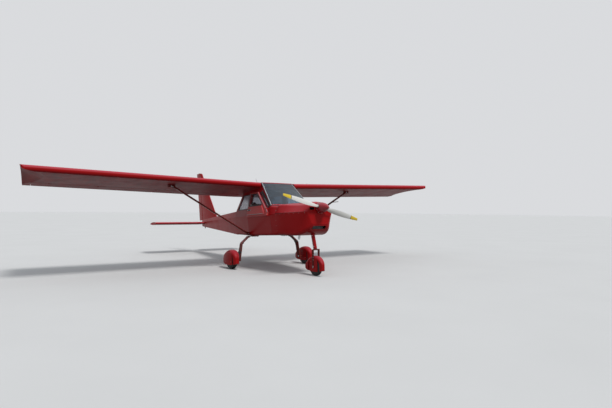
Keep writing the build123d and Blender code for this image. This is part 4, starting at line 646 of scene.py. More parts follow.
SIDE_PANEL = (0.702, 0.922)
SIDE_PANEL_ANGLES = [math.radians(0.9 + 1.55 * k) for k in range(16)]
SIDE_PANEL_PROUD = 0.0016
COWL_MIDDLE_Z = -0.62


def shoulder(angle, sign, ahead=0.0):
    """Direction out of the cowling's shoulder at an angle about its middle line."""
    return Vector((ahead, sign * math.cos(angle), math.sin(angle)))


def side_panel_row(x, sign):
    """Places up the cowling's shoulder at one station."""
    row = []
    for angle in SIDE_PANEL_ANGLES:
        out = shoulder(angle, sign)
        row.append(cast("cowling_upper", Vector((x, 0, COWL_MIDDLE_Z)) + out, -out)[0])
    return row


def cowl_side_panels():
    """Doubler skin over each shoulder of the upper cowling, from the firewall seam forward."""
    shape = Shape()
    x0, x1 = SIDE_PANEL
    step, cuts, count = 0.03, 14, len(SIDE_PANEL_ANGLES)
    ratio = (x1 - x0) / step
    for sign in (1, -1):
        stations = [side_panel_row(x, sign) for x in (x0 - step, x0, x1, x1 + step)]
        grid, rings = [], []
        for i in range(cuts + 1):
            t = i / cuts
            keep, swing_in, swing_out = 2 * t ** 3 - 3 * t ** 2 + 1, t ** 3 - 2 * t ** 2 + t, t ** 3 - t ** 2
            row = []
            for a, b, c, d in zip(*stations):
                row.append(b * keep + c * (1 - keep) + ((b - a) * swing_in + (d - c) * swing_out) * ratio)
            grid.append(row)
            outs = [shoulder(angle, sign, 0.15) for angle in SIDE_PANEL_ANGLES]
            upper = [place + out * SIDE_PANEL_PROUD for place, out in zip(row, outs)]
            lower = [place - out * 0.002 for place, out in zip(row, outs)]
            rings.append(upper + lower[::-1])
        shape.bands(rings, ends=(False, False))
        around = 2 * count
        for first in (len(shape.verts) - around * len(rings), len(shape.verts) - around):
            last = first + around - 1
            shape.faces += [(first + k, first + k + 1, last - k - 1, last - k) for k in range(count - 1)]
            shape.kinds += [0] * (count - 1)
        for i in range(1, cuts, 3):
            for k in (1, count - 2):
                out = shoulder(SIDE_PANEL_ANGLES[k], sign, 0.1).normalized()
                shape.head(grid[i][k] + out * SIDE_PANEL_PROUD, out, 0.0045)
    shape.make("cowl_side_panels", "red_paint", smooth=50)


def cowl_fasteners():
    """Quarter-turn fasteners along the cowling's seams, and the oil door's edge."""
    shape = Shape()
    for sign in (1, -1):
        toward = PORT * -sign
        rows = [("cowling_upper", (0.96, -0.598), (1.42, -0.598), 0.12),
                ("cowling_lower", (0.69, -0.634), (1.42, -0.634), 0.12)]
        rows += [("cowling_lower", (0.668, z), (0.668, z), 1) for z in (-0.95, -0.85, -0.75, -0.66)]
        rows.append(("cowling_upper", (0.668, -0.56), (0.668, -0.5), 0.06))
        for node, (x0, z0), (x1, z1), pitch in rows:
            shape.heads(node, (x0, sign, z0), (x1, sign, z1), toward, pitch, 0.0055, 1)
        for node, x, z in (("cowling_upper", 0.93, -0.6135), ("cowling_lower", 0.655, -0.6165)):
            shape.seam(node, [(x, sign, z), (1.465, sign, z)], toward, 0.003, 0.04, kind=2)
    for y in (-0.3, -0.1, 0.1, 0.3):
        for node, z, toward in (("cowling_upper", 0, DOWN), ("cowling_lower", -1.5, UP)):
            shape.heads(node, (0.668, y, z), (0.668, y, z), toward, 1, 0.0055, 1)
    door = outline_loop([(1.02, 0.02), (1.02, 0.17), (0.86, 0.17), (0.86, 0.02)], 0.02)
    shape.seam("cowling_upper", [(*p, 0) for p in door], DOWN, 0.0025, 0.02, kind=2, closed=True)
    shape.heads("cowling_upper", (0.94, 0.155, 0), (0.94, 0.155, 0), DOWN, 1, 0.008, 1)
    shape.make("cowl_fasteners", "red_paint", "fastener", "seam_dark")


def whip_antenna():
    """Tapered whip on a rubber foot."""
    shape = Shape()
    foot, tip = Vector((-0.892, 0, 0.098)), Vector((-0.998, 0, 0.262))
    for start, end, radius, kind in ((0, 0.25, 0.0062, 1), (0.2, 0.6, 0.0048, 0), (0.58, 1, 0.0036, 0)):
        shape.tube([foot.lerp(tip, start), foot.lerp(tip, end)], radius, 12, kind)
    shape.lathe(((0.0, 0.017), (0.006, 0.017), (0.012, 0.012), (0.016, 0.008)), (-0.89, 0, 0.088), UP, 28, 1)
    piece = shape.make("whip_antenna", "pale_trim", "seal_rubber", slot="dark_metal")
    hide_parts("antenna")


INLET_Y, INLET_Z = 0.17, -0.556
NOSE_AHEAD_X = 1.8
CORE_X = 1.371
CORE_FINS = 58


def nose_inlets():
    """Ducts with finned cores behind the two nose inlets, and the radiator behind the low slot."""
    shape = Shape()
    for sign in (1, -1):
        rings = []
        for x, grow in ((1.452, 1.0), (1.40, 0.97), (1.33, 0.9)):
            rings.append(circle(Vector((x, sign * INLET_Y, INLET_Z)), PORT, UP, 0.05 * grow, 24, 0.42))
        shape.bands(rings, ends=(False, True))
        for k in range(6):
            y, z = sign * INLET_Y, INLET_Z - 0.016 + 0.0064 * k
            shape.box((1.332, y - 0.04, z - 0.0008), (1.372, y + 0.04, z + 0.0008), 1)
    shape.box((1.345, -0.145, -0.94), (CORE_X, 0.145, -0.872))
    for k in range(CORE_FINS):
        y = -0.143 + 0.286 * k / (CORE_FINS - 1)
        shape.box((CORE_X, y - 0.0007, -0.937), (CORE_X + 0.010, y + 0.0007, -0.875), 1)
    for z in (-0.925, -0.906, -0.887):
        shape.tube([(CORE_X + 0.003, -0.144, z), (CORE_X + 0.003, 0.144, z)], 0.0035, 6, 1, 0.6)
    shape.make("cooling_cores", "panel_black", "core_metal", slot="dark_metal")


def lip(shape, node, outline, radius):
    """Rolled lip where a (y, z) outline meets the front of a node."""
    hits = [cast(node, (NOSE_AHEAD_X, y, z), AFT) for y, z in outline]
    shape.ring([hit[0] + AFT * 0.001 for hit in hits if hit], radius, 6)


def inlet_lips():
    """Rolled lips round the nose inlets and the radiator slot."""
    shape = Shape()
    for sign in (1, -1):
        loop = []
        for a in turns(40):
            c, s = math.cos(a), math.sin(a)
            loop.append((sign * INLET_Y + 0.058 * math.copysign(abs(c) ** 0.62, c),
                         INLET_Z + 0.029 * math.copysign(abs(s) ** 0.62, s)))
        lip(shape, "cowling_upper", loop, 0.0035)
    slot = [(0.154, -0.872), (0.154, -0.938), (-0.154, -0.938), (-0.154, -0.872)]
    lip(shape, "cowling_lower", outline_loop(slot, 0.026, 6), 0.004)
    shape.make("inlet_lips", "red_paint")


# Glazing trim and doors

OUTBOARD_Y = 1.2
SCREEN_AHEAD_X = 1.6
DOOR_WINDOW = ((0.165, -0.400), (-0.112, -0.172), (-0.378, -0.172), (-0.390, -0.400))
QUARTER_WINDOW = ((0.425, -0.470), (0.020, -0.150), (-0.045, -0.150), (0.345, -0.470))
REAR_SIDE_WINDOW = ((-0.498, -0.165), (-0.850, -0.165), (-1.080, -0.460), (-0.508, -0.460))
ROOF_WINDOW = ((-0.172, 0.288), (-0.638, 0.288), (-0.638, -0.288), (-0.172, -0.288))


def on_side(loop, sign):
    """Places well outboard of a side-view outline."""
    return [(x, sign * OUTBOARD_Y, z) for x, z in loop]


def window_gaskets():
    """Rubber seals round the fixed side windows and the roof window."""
    for side, sign in SIDES:
        shape = Shape()
        node = "cabin_side_" + side
        for outline in (QUARTER_WINDOW, REAR_SIDE_WINDOW):
            loop = on_side(outline_loop(grown(outline, 0.006), 0.016), sign)
            shape.strip(node, loop, PORT * -sign, 0.014, 0.0022, closed=True, step=0.04)
        for line in (((0.462, -0.455), (0.052, -0.125)), ((0.440, -0.448), (0.030, -0.118))):
            shape.strip(node, on_side(line, sign), PORT * -sign, 0.030, 0.0016, step=0.03)
        shape.make("window_gaskets_" + side, "seal_rubber", slot="panel_black")
    shape = Shape()
    edge = grown(ROOF_WINDOW, 0.012)
    loop = [(x, y, 0.5) for x, y in outline_loop(edge, 0.02)]
    shape.strip("centre_roof", loop, DOWN, 0.022, 0.0015, closed=True, step=0.03)
    for start, end in zip(edge, edge[1:] + edge[:1]):
        shape.heads("centre_roof", (*start, 0.5), (*end, 0.5), DOWN, 0.07, 0.004, 1)
    shape.make("roof_window_trim", "wing_paint", "bare_metal")


def screen_strip(shape, line, width, step, screws):
    """Strip over the windshield along (y, z) places, with screws through it at others."""
    shape.strip("windshield", [(SCREEN_AHEAD_X, y, z) for y, z in line], AFT, width, 0.0025, step=step)
    for y, z in screws:
        hit = cast("windshield", (SCREEN_AHEAD_X, y, z), AFT)
        if hit:
            shape.head(hit[0] + hit[1] * 0.0024, hit[1], 0.004, 1)


def screen_side(z):
    """Half width of the windshield's side strips above the waist."""
    return 0.487 - 0.095 * (z + 0.615) / 0.515


def windshield_trim():
    """Pale strips down the screen's sides, a cover strip over its foot and one along the roof edge."""
    shape = Shape()
    for sign in (1, -1):
        line = [(sign * screen_side(z), z) for z in (-0.437, -0.30, -0.15, 0.0, 0.062)]
        heights = [-0.42 + 0.47 * k / 11 for k in range(12)]
        screen_strip(shape, line, 0.015, 0.03, [(sign * screen_side(z), z) for z in heights])
    shape.make("screen_side_strips", "pale_trim", "bare_metal", slot="bare_metal")
    shape = Shape()
    for z, half in ((-0.433, 0.445), (0.058, 0.355)):
        line = [(half * k / 10, z) for k in range(-10, 11)]
        screen_strip(shape, line, 0.022, 0.05, [(half * k / 8.5, z) for k in range(-8, 9)])
    shape.make("screen_foot_strip", "red_paint", "bare_metal")


def door_handle(shape, place, normal):
    """Plate, lever and lock on a door."""
    up = square_to(UP, normal)
    plate = outline_loop([(0.055, 0.018), (0.055, -0.018), (-0.055, -0.018), (-0.055, 0.018)], 0.014)
    shape.bands([[place + AHEAD * x + up * z + normal * out for x, z in plate] for out in (-0.002, 0.003)], 1)
    lever = ((0.045, 0.006), (0.03, 0.012), (-0.03, 0.013), (-0.048, 0.011))
    shape.tube([place + AHEAD * x + normal * out for x, out in lever], 0.007, 10, 2, 0.7)
    shape.lathe(((0, 0.009), (0.004, 0.009), (0.005, 0.007)), place + AHEAD * 0.075, normal, 20, 2)


DOOR_STRIPS = (((0.428, -0.575), (-0.098, -0.136), 0.013, 0.0018),
               ((-0.412, -0.140), (-0.428, -0.632), 0.013, 0.0018),
               ((0.326, -0.597), (-0.398, -0.597), 0.009, 0.0016))
DOOR_RIVETS = (((0.40, -0.552), (-0.06, -0.168)), ((-0.424, -0.60), (-0.408, -0.17)),
               ((0.40, -0.626), (-0.42, -0.626)), ((-0.12, -0.148), (-0.39, -0.148)))


def door_details():
    """Window gasket, sill, edge strips, rivets, handle and hinge bolts of each door."""
    for side, sign in SIDES:
        node = "door_" + side
        toward = PORT * -sign
        gasket, sill, trim, fit = Shape(), Shape(), Shape(), Shape()
        loop = on_side(outline_loop(grown(DOOR_WINDOW, 0.006), 0.02), sign)
        gasket.strip(node, loop, toward, 0.014, 0.0022, closed=True, step=0.04)
        gasket.make("door_gasket_" + side, "seal_rubber", body=node, slot="panel_black")
        sill.strip(node, on_side(((0.150, -0.428), (-0.385, -0.428)), sign), toward, 0.036, 0.0016, step=0.05)
        sill.make("door_sill_" + side, "panel_black", body=node)
        for start, end, width, lift in DOOR_STRIPS:
            trim.strip(node, on_side((start, end), sign), toward, width, lift, step=0.05)
        trim.make("door_strips_" + side, "pale_trim", body=node, slot="bare_metal")
        for line in DOOR_RIVETS:
            fit.heads(node, *on_side(line, sign), toward, 0.055, 0.0035, sides=6)
        door_handle(fit, *cast(node, (-0.33, sign * OUTBOARD_Y, -0.50), toward))
        for z in (-0.616, -0.488):
            for x, y in ((0.452, 0.552), (0.43, 0.546)):
                fit.lathe(((-0.001, 0.006), (0.004, 0.006), (0.005, 0.004)), (x, sign * y, z), UP, 6, 2)
        fit.make("door_fittings_" + side, "door_paint", "panel_black", "bare_metal", body=node,
                 slot="dark_metal")


# Cabin

PAD_ROUND = 0.009
PAD_FRAMES = 18
CHANNEL_PITCH, CHANNEL_WIDTH = 0.062, 0.006


def settle(piece):
    """Applies a piece's modifiers to its mesh."""
    graph = bpy.context.evaluated_depsgraph_get()
    mesh = bpy.data.meshes.new_from_object(piece.evaluated_get(graph))
    piece.modifiers.clear()
    piece.data = mesh


def inflate(pad):
    """Blows a pad up as cloth, no further than PAD_ROUND."""
    start = [v.co.copy() for v in pad.data.vertices]
    cloth = pad.modifiers.new("cloth", "CLOTH")
    cloth.settings.use_pressure = True
    cloth.settings.uniform_pressure_force = 4.0
    cloth.settings.effector_weights.gravity = 0.0
    cloth.settings.quality = 4
    cloth.point_cache.frame_start = 1
    cloth.point_cache.frame_end = PAD_FRAMES
    for step in range(1, PAD_FRAMES + 1):
        bpy.context.scene.frame_set(step)
    settle(pad)
    bpy.context.scene.frame_set(1)
    for vert, before in zip(pad.data.vertices, start):
        move = vert.co - before
        if move.length > PAD_ROUND:
            vert.co = before + move.normalized() * PAD_ROUND


def sew(pad, y0, y1, channels):
    """Presses seams into the pad's front face, across it at an even pitch and along both of its sides."""
    (x0, z0), (x1, z1) = channels
    start = Vector((x0, 0, z0))
    run = Vector((x1 - x0, 0, z1 - z0))
    length = run.length
    run.normalize()
    across = Vector((-run.z, 0, run.x))
    for vert in pad.data.vertices:
        place = LEVEL_BACK @ vert.co
        t = (place - start).dot(run)
        over = (place - start).dot(across)
        side = min(place.y - y0, y1 - place.y)
        if over > -0.02 and 0.02 < t < length - 0.02 and side > 0.05:
            phase = (t / CHANNEL_PITCH) % 1.0
            dip = math.exp(-((min(phase, 1 - phase) * CHANNEL_PITCH / CHANNEL_WIDTH) ** 2)) * 0.006
            edge = math.exp(-(((side - 0.055) / CHANNEL_WIDTH) ** 2)) * 0.005
            vert.co = LEVEL @ (place - across * max(dip, edge))


def seat_pad(name, outline, y0, y1, node, channels):
    """Stuffed pad grown from a side-view outline: inflated cloth with sewn channels across its front face."""
    middle = sum((Vector(c) for c in outline), Vector((0, 0))) / len(outline)
    small = [Vector(c) + (middle - Vector(c)).normalized() * PAD_ROUND for c in outline]
    n = len(small)
    faces = [tuple(range(n)), tuple(range(2 * n - 1, n - 1, -1))]
    faces += [(k, n + k, n + (k + 1) % n, (k + 1) % n) for k in range(n)]
    mesh = bpy.data.meshes.new(name)
    verts = [tuple(LEVEL @ Vector((p.x, y, p.y))) for y in (y0 + 0.008, y1 - 0.008) for p in small]
    mesh.from_pydata(verts, [], faces)
    face_outwards(mesh, 0.018)
    pad = add_object(name, mesh)
    remesh = pad.modifiers.new("remesh", "REMESH")
    remesh.mode = "VOXEL"
    remesh.voxel_size = 0.009
    settle(pad)
    inflate(pad)
    sew(pad, y0, y1, channels)
    smooth = pad.modifiers.new("smooth", "SUBSURF")
    smooth.levels = smooth.render_levels = 1
    settle(pad)
    pad.data.materials.append(M["seat_cover"])
    pad.data.polygons.foreach_set("use_smooth", [True] * len(pad.data.polygons))
    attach(pad, "airframe")
    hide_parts(node)


CUSHION = ((-0.296, -0.876), (0.146, -0.848), (0.146, -0.774), (-0.286, -0.794))
CUSHION_CHANNELS = ((-0.28, -0.795), (0.14, -0.774))
BACK = ((-0.306, -0.862), (-0.296, -0.79), (-0.432, -0.336), (-0.496, -0.348), (-0.37, -0.87))
BACK_CHANNELS = ((-0.432, -0.336), (-0.30, -0.775))


def seats():
    """Cushion and back of each seat, with its belts and buckle."""
    for y0, y1, side in ((0.022, 0.398, "left"), (-0.398, -0.022, "right")):
        node = "seat_" + side
        seat_pad("seat_cushion_" + side, CUSHION, y0, y1, node, CUSHION_CHANNELS)
        seat_pad("seat_back_" + side, BACK, y0, y1, node, BACK_CHANNELS)
        mid = (y0 + y1) / 2
        belts = Shape()
        paths = []
        for out in (-0.11, 0.11):
            paths.append([(-0.52, out * 0.9, -0.40), (-0.49, out, -0.335), (-0.452, out, -0.322),
                          (-0.418, out, -0.352), (-0.36, out, -0.55), (-0.30, out * 0.8, -0.745),
                          (-0.265, out * 0.5, -0.762)])
        for sign in (1, -1):
            paths.append([(-0.30, sign * 0.175, -0.845), (-0.285, sign * 0.17, -0.775),
                          (-0.23, sign * 0.12, -0.768), (-0.19, sign * 0.03, -0.77)])
        for path in paths:
            belts.tube([(x, mid + y, z) for x, y, z in path], 0.022, 8, 0, 0.08)
        belts.box((-0.225, mid - 0.03, -0.779), (-0.165, mid + 0.03, -0.762), 1)
        belts.make("seat_belts_" + side, "webbing", "bare_metal", slot="seat_cover", bevel=0.001)


PANEL_X = 0.3295
DIALS = ((0.26, -0.545, 0.041, 0.7), (0.165, -0.545, 0.041, 2.3), (0.07, -0.545, 0.041, 4.0),
         (0.26, -0.635, 0.034, 5.1), (0.165, -0.635, 0.034, 1.2), (0.07, -0.635, 0.034, 3.0),
         (-0.10, -0.535, 0.03, 0.4), (-0.18, -0.535, 0.03, 2.0), (-0.26, -0.535, 0.03, 3.5),
         (-0.34, -0.535, 0.03, 5.6), (-0.10, -0.61, 0.026, 1.9), (-0.18, -0.61, 0.026, 4.4))


def face_spoke(angle):
    """Direction across a face that looks ahead or aft."""
    return Vector((0, math.cos(angle), math.sin(angle)))


def instruments():
    """Dials with bezels, marks and pointers, switches and knobs on the panel's rear face."""
    shape = Shape()
    for y, z, r, turn in DIALS:
        place = Vector((PANEL_X, y, z))
        bezel = ((0, r + 0.006), (0.006, r + 0.005), (0.007, r + 0.001), (0.003, r - 0.002))
        shape.lathe(bezel, place, AFT, kind=1)
        shape.lathe(((0, r - 0.001), (0.0034, r - 0.002)), place, AFT)
        for k, angle in enumerate(turns(24)):
            rim = place + AFT * 0.0037 + face_spoke(angle) * (r - 0.004)
            shape.tube([rim, rim - face_spoke(angle) * (0.004 if k % 3 else 0.007)], 0.0006, 4, 2)
        face = place + AFT * 0.0045
        shape.tube([face - face_spoke(turn) * 0.006, face + face_spoke(turn) * (r - 0.011)], 0.0012, 6, 2)
        shape.lathe(((0.003, 0.004), (0.006, 0.0035)), place, AFT, 12, 1)
    for k in range(8):
        place = Vector((PANEL_X, -0.06 - 0.04 * k, -0.668))
        shape.lathe(((0, 0.007), (0.003, 0.007), (0.004, 0.005)), place, AFT, 12, 3)
        tip = place + AFT * 0.017 + (UP if k % 3 else DOWN) * 0.007
        shape.tube([place + AFT * 0.003, tip], 0.0022, 8, 3)
    for y in (0.0, 0.02):
        place = Vector((PANEL_X, y, -0.66))
        shape.tube([place, place + AFT * 0.03], 0.004, 8, 3)
        shape.lathe(((0.028, 0.006), (0.03, 0.012), (0.04, 0.013), (0.043, 0.009)), place, AFT, 16, 1)
    shape.make("instruments", "panel_black", "dark_metal", "white_plastic", "bare_metal")


def cabin_tubes():
    """Frame tubes behind the windshield, the overhead cross tubes, the floor mats and the pedals."""
    shape, mats, pedals = Shape(), Shape(), Shape()
    for sign in (1, -1):
        for radius, path in ((0.013, ((0.455, 0.41, -0.46), (0.05, 0.335, -0.105), (-0.06, 0.318, -0.058))),
                             (0.013, ((-0.44, 0.345, -0.085), (-0.47, 0.425, -0.60))),
                             (0.011, ((-0.47, 0.425, -0.60), (-0.86, 0.335, -0.12)))):
            shape.tube([(x, sign * y, z) for x, y, z in path], radius, 12)
        mats.box((0.16, sign * 0.21 - 0.18, -1.0048), (0.60, sign * 0.21 + 0.18, -0.998))
    shape.tube([(0.05, -0.335, -0.105), (0.05, 0.335, -0.105)], 0.013, 12)
    shape.tube([(-0.44, -0.345, -0.085), (-0.44, 0.345, -0.085)], 0.016, 12)
    shape.make("cabin_tubes", "dark_metal")
    mats.make("floor_mats", "webbing", slot="panel_black", bevel=0.003)
    for y in (-0.30, -0.14, 0.14, 0.30):
        pedals.tube([(0.58, y, -0.99), (0.575, y, -0.86)], 0.008, 8)
        pedals.tube([(0.572, y - 0.045, -0.85), (0.572, y + 0.045, -0.85)], 0.011, 12)
    pedals.tube([(0.585, -0.36, -0.99), (0.585, 0.36, -0.99)], 0.010)
    pedals.make("pedals", "bare_metal")


# Wheels and gear

MAIN_WHEEL = (-0.393, 0.910, -1.524)
NOSE_WHEEL = (1.303, 0.0, -1.63184)


def wheel_spoke(angle):
    """Direction from an axle to the tread."""
    return Vector((math.cos(angle), 0, math.sin(angle)))


def tyre(name, body, node, place, radius, width, rim_radius):
    """Tyre with tread grooves, a rounded shoulder and a bead, in place of its plain solid."""
    half = width / 2
    place = Vector(place)
    row = [(half * 0.60, rim_radius), (half * 0.70, rim_radius + 0.006), (half * 0.80, rim_radius + 0.010),
           (half * 0.96, rim_radius + 0.030), (half, (radius + rim_radius) / 2),
           (half * 0.985, radius - 0.040), (half * 0.93, radius - 0.024), (half * 0.84, radius - 0.013),
           (half * 0.70, radius - 0.006)]
    low = radius - 0.0065
    for groove in (0.56, 0.28):
        at = half * groove
        top = radius - 0.006 * (groove ** 2)
        row += [(at + 0.0032, top), (at + 0.0022, low), (at - 0.0022, low), (at - 0.0032, top)]
    row += [(0.0036, radius), (0.0024, low)]
    shape = Shape()
    shape.collar(row + [(-across, r) for across, r in reversed(row)], place, PORT, 128)
    for angle in turns(48):
        for sign in (1, -1):
            bar = [place + PORT * (sign * half * share) + wheel_spoke(angle) * (radius - drop)
                   for share, drop in ((0.90, 0.0195), (0.985, 0.038))]
            shape.tube(bar, 0.0022, 5)
    piece = shape.make(name, "tyre_rubber", body=body, smooth=40)
    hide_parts(node)


def rim_details(name, body, place, sides, reach, radius):
    """Rim bolts and rivets on both faces of a wheel, and its valve."""
    shape = Shape()
    place = Vector(place)
    for sign in sides:
        for angle in turns(6, 0.5):
            rows = ((0.005, 0.0075), (0.010, 0.0075), (0.0115, 0.005))
            shape.lathe(rows, place + wheel_spoke(angle) * (radius * 0.62), PORT * sign, 6)
        for angle in turns(28):
            rows = ((0.005, 0.0016), (0.0085, 0.0013))
            shape.lathe(rows, place + wheel_spoke(angle) * (radius * 0.80), PORT * sign, 6)
    out = PORT * sides[0]
    valve = place + out * reach + wheel_spoke(0.9) * (radius - 0.018)
    shape.tube([valve - out * 0.012, valve + out * 0.004], 0.0032, 10, 1)
    shape.make(name, "bare_metal", "seal_rubber", body=body, slot="rim_metal")


def wheels():
    """All three wheels' tyres and rim hardware."""
    x, y, z = MAIN_WHEEL
    for side, sign in SIDES:
        place = (x, sign * y, z)
        tyre("tread_" + side, "wheel_" + side, "main_tyre_" + side, place, 0.178, 0.120, 0.072)
        rim_details("rim_bolts_" + side, "wheel_" + side, place, (sign, -sign), 0.030, 0.072)
    tyre("tread_nose", "nose_wheel", "nose_tyre", NOSE_WHEEL, 0.165, 0.092, 0.070)
    rim_details("rim_bolts_nose", "nose_wheel", NOSE_WHEEL, (1, -1), 0.022, 0.070)


BRAKE_LINE = ((0.46, -1.048), (0.53, -1.062), (0.60, -1.112), (0.672, -1.185), (0.712, -1.30), (0.738, -1.44),
              (0.76, -1.52))
LINE_CLIPS = ((0.53, -1.062), (0.672, -1.185), (0.725, -1.37))


def main_gear():
    """Axle nuts, leg clamps, brake line and fairing screws of each main wheel."""
    x, y, z = MAIN_WHEEL
    shape = Shape()
    for sign in (1, -1):
        nuts = ((0.010, sign, ((0, 0.024), (0.012, 0.024), (0.014, 0.020))),
                (-0.010, -sign, ((0, 0.017), (0.010, 0.017), (0.012, 0.012))))
        for out, face, rows in nuts:
            shape.lathe(rows, (x, sign * (y - 0.165 + out), z), PORT * face, 6)
        shape.tube([(x - 0.062, sign * across, height) for across, height in BRAKE_LINE], 0.004, 8, 1)
        for across, height in LINE_CLIPS:
            shape.box((x - 0.068, sign * across - 0.012, height - 0.012),
                      (x + 0.058, sign * across + 0.012, height + 0.012), 1)
        for dx in (0.035, -0.035):
            for across in (0.33, 0.40):
                place = (x + dx, sign * across, -1.053)
                shape.lathe(((-0.002, 0.011), (0.007, 0.011), (0.009, 0.008)), place, DOWN, 6)
    shape.make("leg_hardware", "bare_metal", "seal_rubber")
    for side, sign in SIDES:
        node = "main_spat_" + side
        spat = Shape()
        for dx, dz in ((0.12, -0.03), (-0.12, -0.03), (0.0, 0.11)):
            for face in (1, -1):
                at = (x + dx, sign * y + face * 0.6, z + dz)
                spat.heads(node, at, at, PORT * -face, 1, 0.0065, 1)
        for face in (-1, 1):
            line = [(x + 0.02, sign * y + face * 0.2, z + up) for up in (-0.06, 0.05, 0.12)]
            spat.strip(node, line, PORT * -face, 0.003, 0.0005, 2, step=0.02)
        spat.heads(node, (x - 0.1, sign * y, z + 0.6), (x + 0.14, sign * y, z + 0.6), DOWN, 0.06, 0.005, 1)
        spat.make("spat_fasteners_" + side, "red_paint", "bare_metal", "seam_dark")


RAKE = math.radians(14.0)
LEG_DOWN = Vector((math.sin(RAKE), 0, -math.cos(RAKE)))
LEG_TOP = Vector((1.232, 0, -1.0))
FORK_HALF = 0.0703


def nose_gear():
    """Bolts, collars and fairing screws of the nose gear."""
    fixed, moving, spat = Shape(), Shape(), Shape()
    low = LEG_TOP + LEG_DOWN * 0.262
    crown = LEG_TOP + LEG_DOWN * 0.326
    x, _, z = NOSE_WHEEL
    fixed.tube([low + PORT * 0.036, low - PORT * 0.036], 0.008, 12)
    for sign in (1, -1):
        for along in (0.05, 0.27):
            place = LEG_TOP + LEG_DOWN * along + PORT * (sign * 0.0295)
            fixed.lathe(((0, 0.008), (0.004, 0.008), (0.006, 0.006)), place, PORT * sign, 6)
        for dx in (0.018, -0.018):
            place = crown + Vector((dx, sign * 0.050, 0.0)) - LEG_DOWN * 0.0065
            moving.lathe(((0, 0.0075), (0.005, 0.0075), (0.006, 0.005)), place, -LEG_DOWN, 6)
        rows = ((0, 0.0128), (0, 0.021), (0.004, 0.020), (0.004, 0.0128))
        moving.collar(rows, (x, sign * FORK_HALF, z), PORT * sign, 24)
        for drop in (0.088, 0.136, 0.184):
            place = crown + Vector((0.01, sign * FORK_HALF, -drop))
            moving.lathe(((0, 0.006), (0.003, 0.006), (0.004, 0.004)), place, PORT * sign, 6)
        for dx, dz in ((0.13, 0.02), (-0.14, 0.02), (-0.08, 0.10)):
            at = (x + dx, sign * 0.5, z + dz)
            spat.heads("nose_spat", at, at, PORT * -sign, 1, 0.0055, 1)
    spat.heads("nose_spat", (x - 0.12, 0, z + 0.6), (x + 0.13, 0, z + 0.6), DOWN, 0.05, 0.0045, 1)
    fixed.make("nose_leg_bolts", "bare_metal")
    moving.make("fork_bolts", "bare_metal", body="nose_steering")
    spat.make("nose_spat_fasteners", "red_paint", "bare_metal", body="nose_steering")


# Tail, propeller and small pieces

FIN_ROWS = ((-4.135, -0.50, -4.368, 0.72), (-3.36, -0.50, -4.29, 0.70), (-3.38, -0.46, -4.13, -0.46),
            (-3.62, -0.14, -4.19, -0.14), (-3.87, 0.18, -4.25, 0.18), (-4.12, 0.5, -4.31, 0.5))
RUDDER_ROWS = ((-4.232, -0.55, -4.462, 0.76), (-4.445, -0.55, -4.640, 0.76))
TAIL_LEVELS = ((0.0, DOWN), (-1.4, UP))
TAB_Z = -0.6632


def tail_details():
    """Rivets of the fin, rudder, tailplane and tab, and the tab's piano hinge."""
    fin, rudder, flat, tab = Shape(), Shape(), Shape(), Shape()
    fin.side_rivets("fin", FIN_ROWS, 0.05)
    fin.make("fin_rivets", "red_paint")
    rudder.side_rivets("rudder", RUDDER_ROWS, 0.05)
    for k in range(5):
        t = (k + 0.15) / 4.3
        z = -0.56 + 1.33 * t
        rudder.side_rivets("rudder", [(-4.235 - 0.228 * t, z, -4.448 - 0.19 * t, z)], 0.045)
    rudder.make("rudder_rivets", "red_paint", body="rudder")
    spars = [(x, 0.17, x, 1.43) for x in (-3.95, -4.18, -4.43)]
    ribs = [(-3.93, y, -4.43, y) for y in (0.19, 0.45, 0.75, 1.05, 1.42)]
    for sign in (1, -1):
        flat.deck_rivets("stabilator", spars, sign, 0.055, TAIL_LEVELS)
        flat.deck_rivets("stabilator", ribs, sign, 0.05, TAIL_LEVELS)
        tab.deck_rivets("trim_tab", [(-4.475, 0.27, -4.475, 0.88)], sign, 0.05, TAIL_LEVELS)
        for y in steps(0.34, 0.82, 0.026):
            tab.tube([(-4.455, sign * y, TAB_Z), (-4.455, sign * (y + 0.02), TAB_Z)], 0.0022, 8, 1)
    flat.make("stabilator_rivets", "red_paint", body="stabilator")
    tab.make("tab_hinge", "red_paint", "bare_metal", body="trim_tab")


def tail_lamp():
    """Beacon: a ribbed lens over its base ring."""
    shape = Shape()
    place = (-4.340, 0, 0.760)
    shape.lathe(((0, 0.019), (0.005, 0.019), (0.006, 0.0175)), place, UP, kind=1)
    lens = ((0.005, 0.0172), (0.010, 0.0174), (0.012, 0.0166), (0.014, 0.0172), (0.016, 0.0162),
            (0.018, 0.0166), (0.021, 0.0148), (0.0245, 0.011), (0.027, 0.006), (0.0278, 0.002))
    shape.lathe(lens, place, UP)
    piece = shape.make("beacon", "white_plastic", "dark_metal")
    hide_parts("tail_light")


def propeller_details():
    """Spinner screws and back ring, and the rubber collars where the blades pass through."""
    shape = Shape()
    middle_z = THRUST_AT.z
    for angle in turns(10, 0.5):
        out = face_spoke(angle)
        shape.head(*cast("spinner", Vector((1.514, 0, middle_z)) + out * 0.3, -out), 0.0048)
    blade = face_spoke(math.radians(-15))
    for sign in (1, -1):
        rows = ((0.090, 0.0243), (0.093, 0.0275), (0.101, 0.0275), (0.104, 0.0243))
        shape.collar(rows, (1.548, 0, middle_z), blade * sign, 28, 1)
    rows = ((0, 0.1022), (0.0, 0.1032), (0.007, 0.1032), (0.007, 0.1022))
    shape.collar(rows, (1.5025, 0, middle_z), AHEAD, 64)
    shape.make("spinner_fittings", "bare_metal", "seal_rubber", body="propeller")


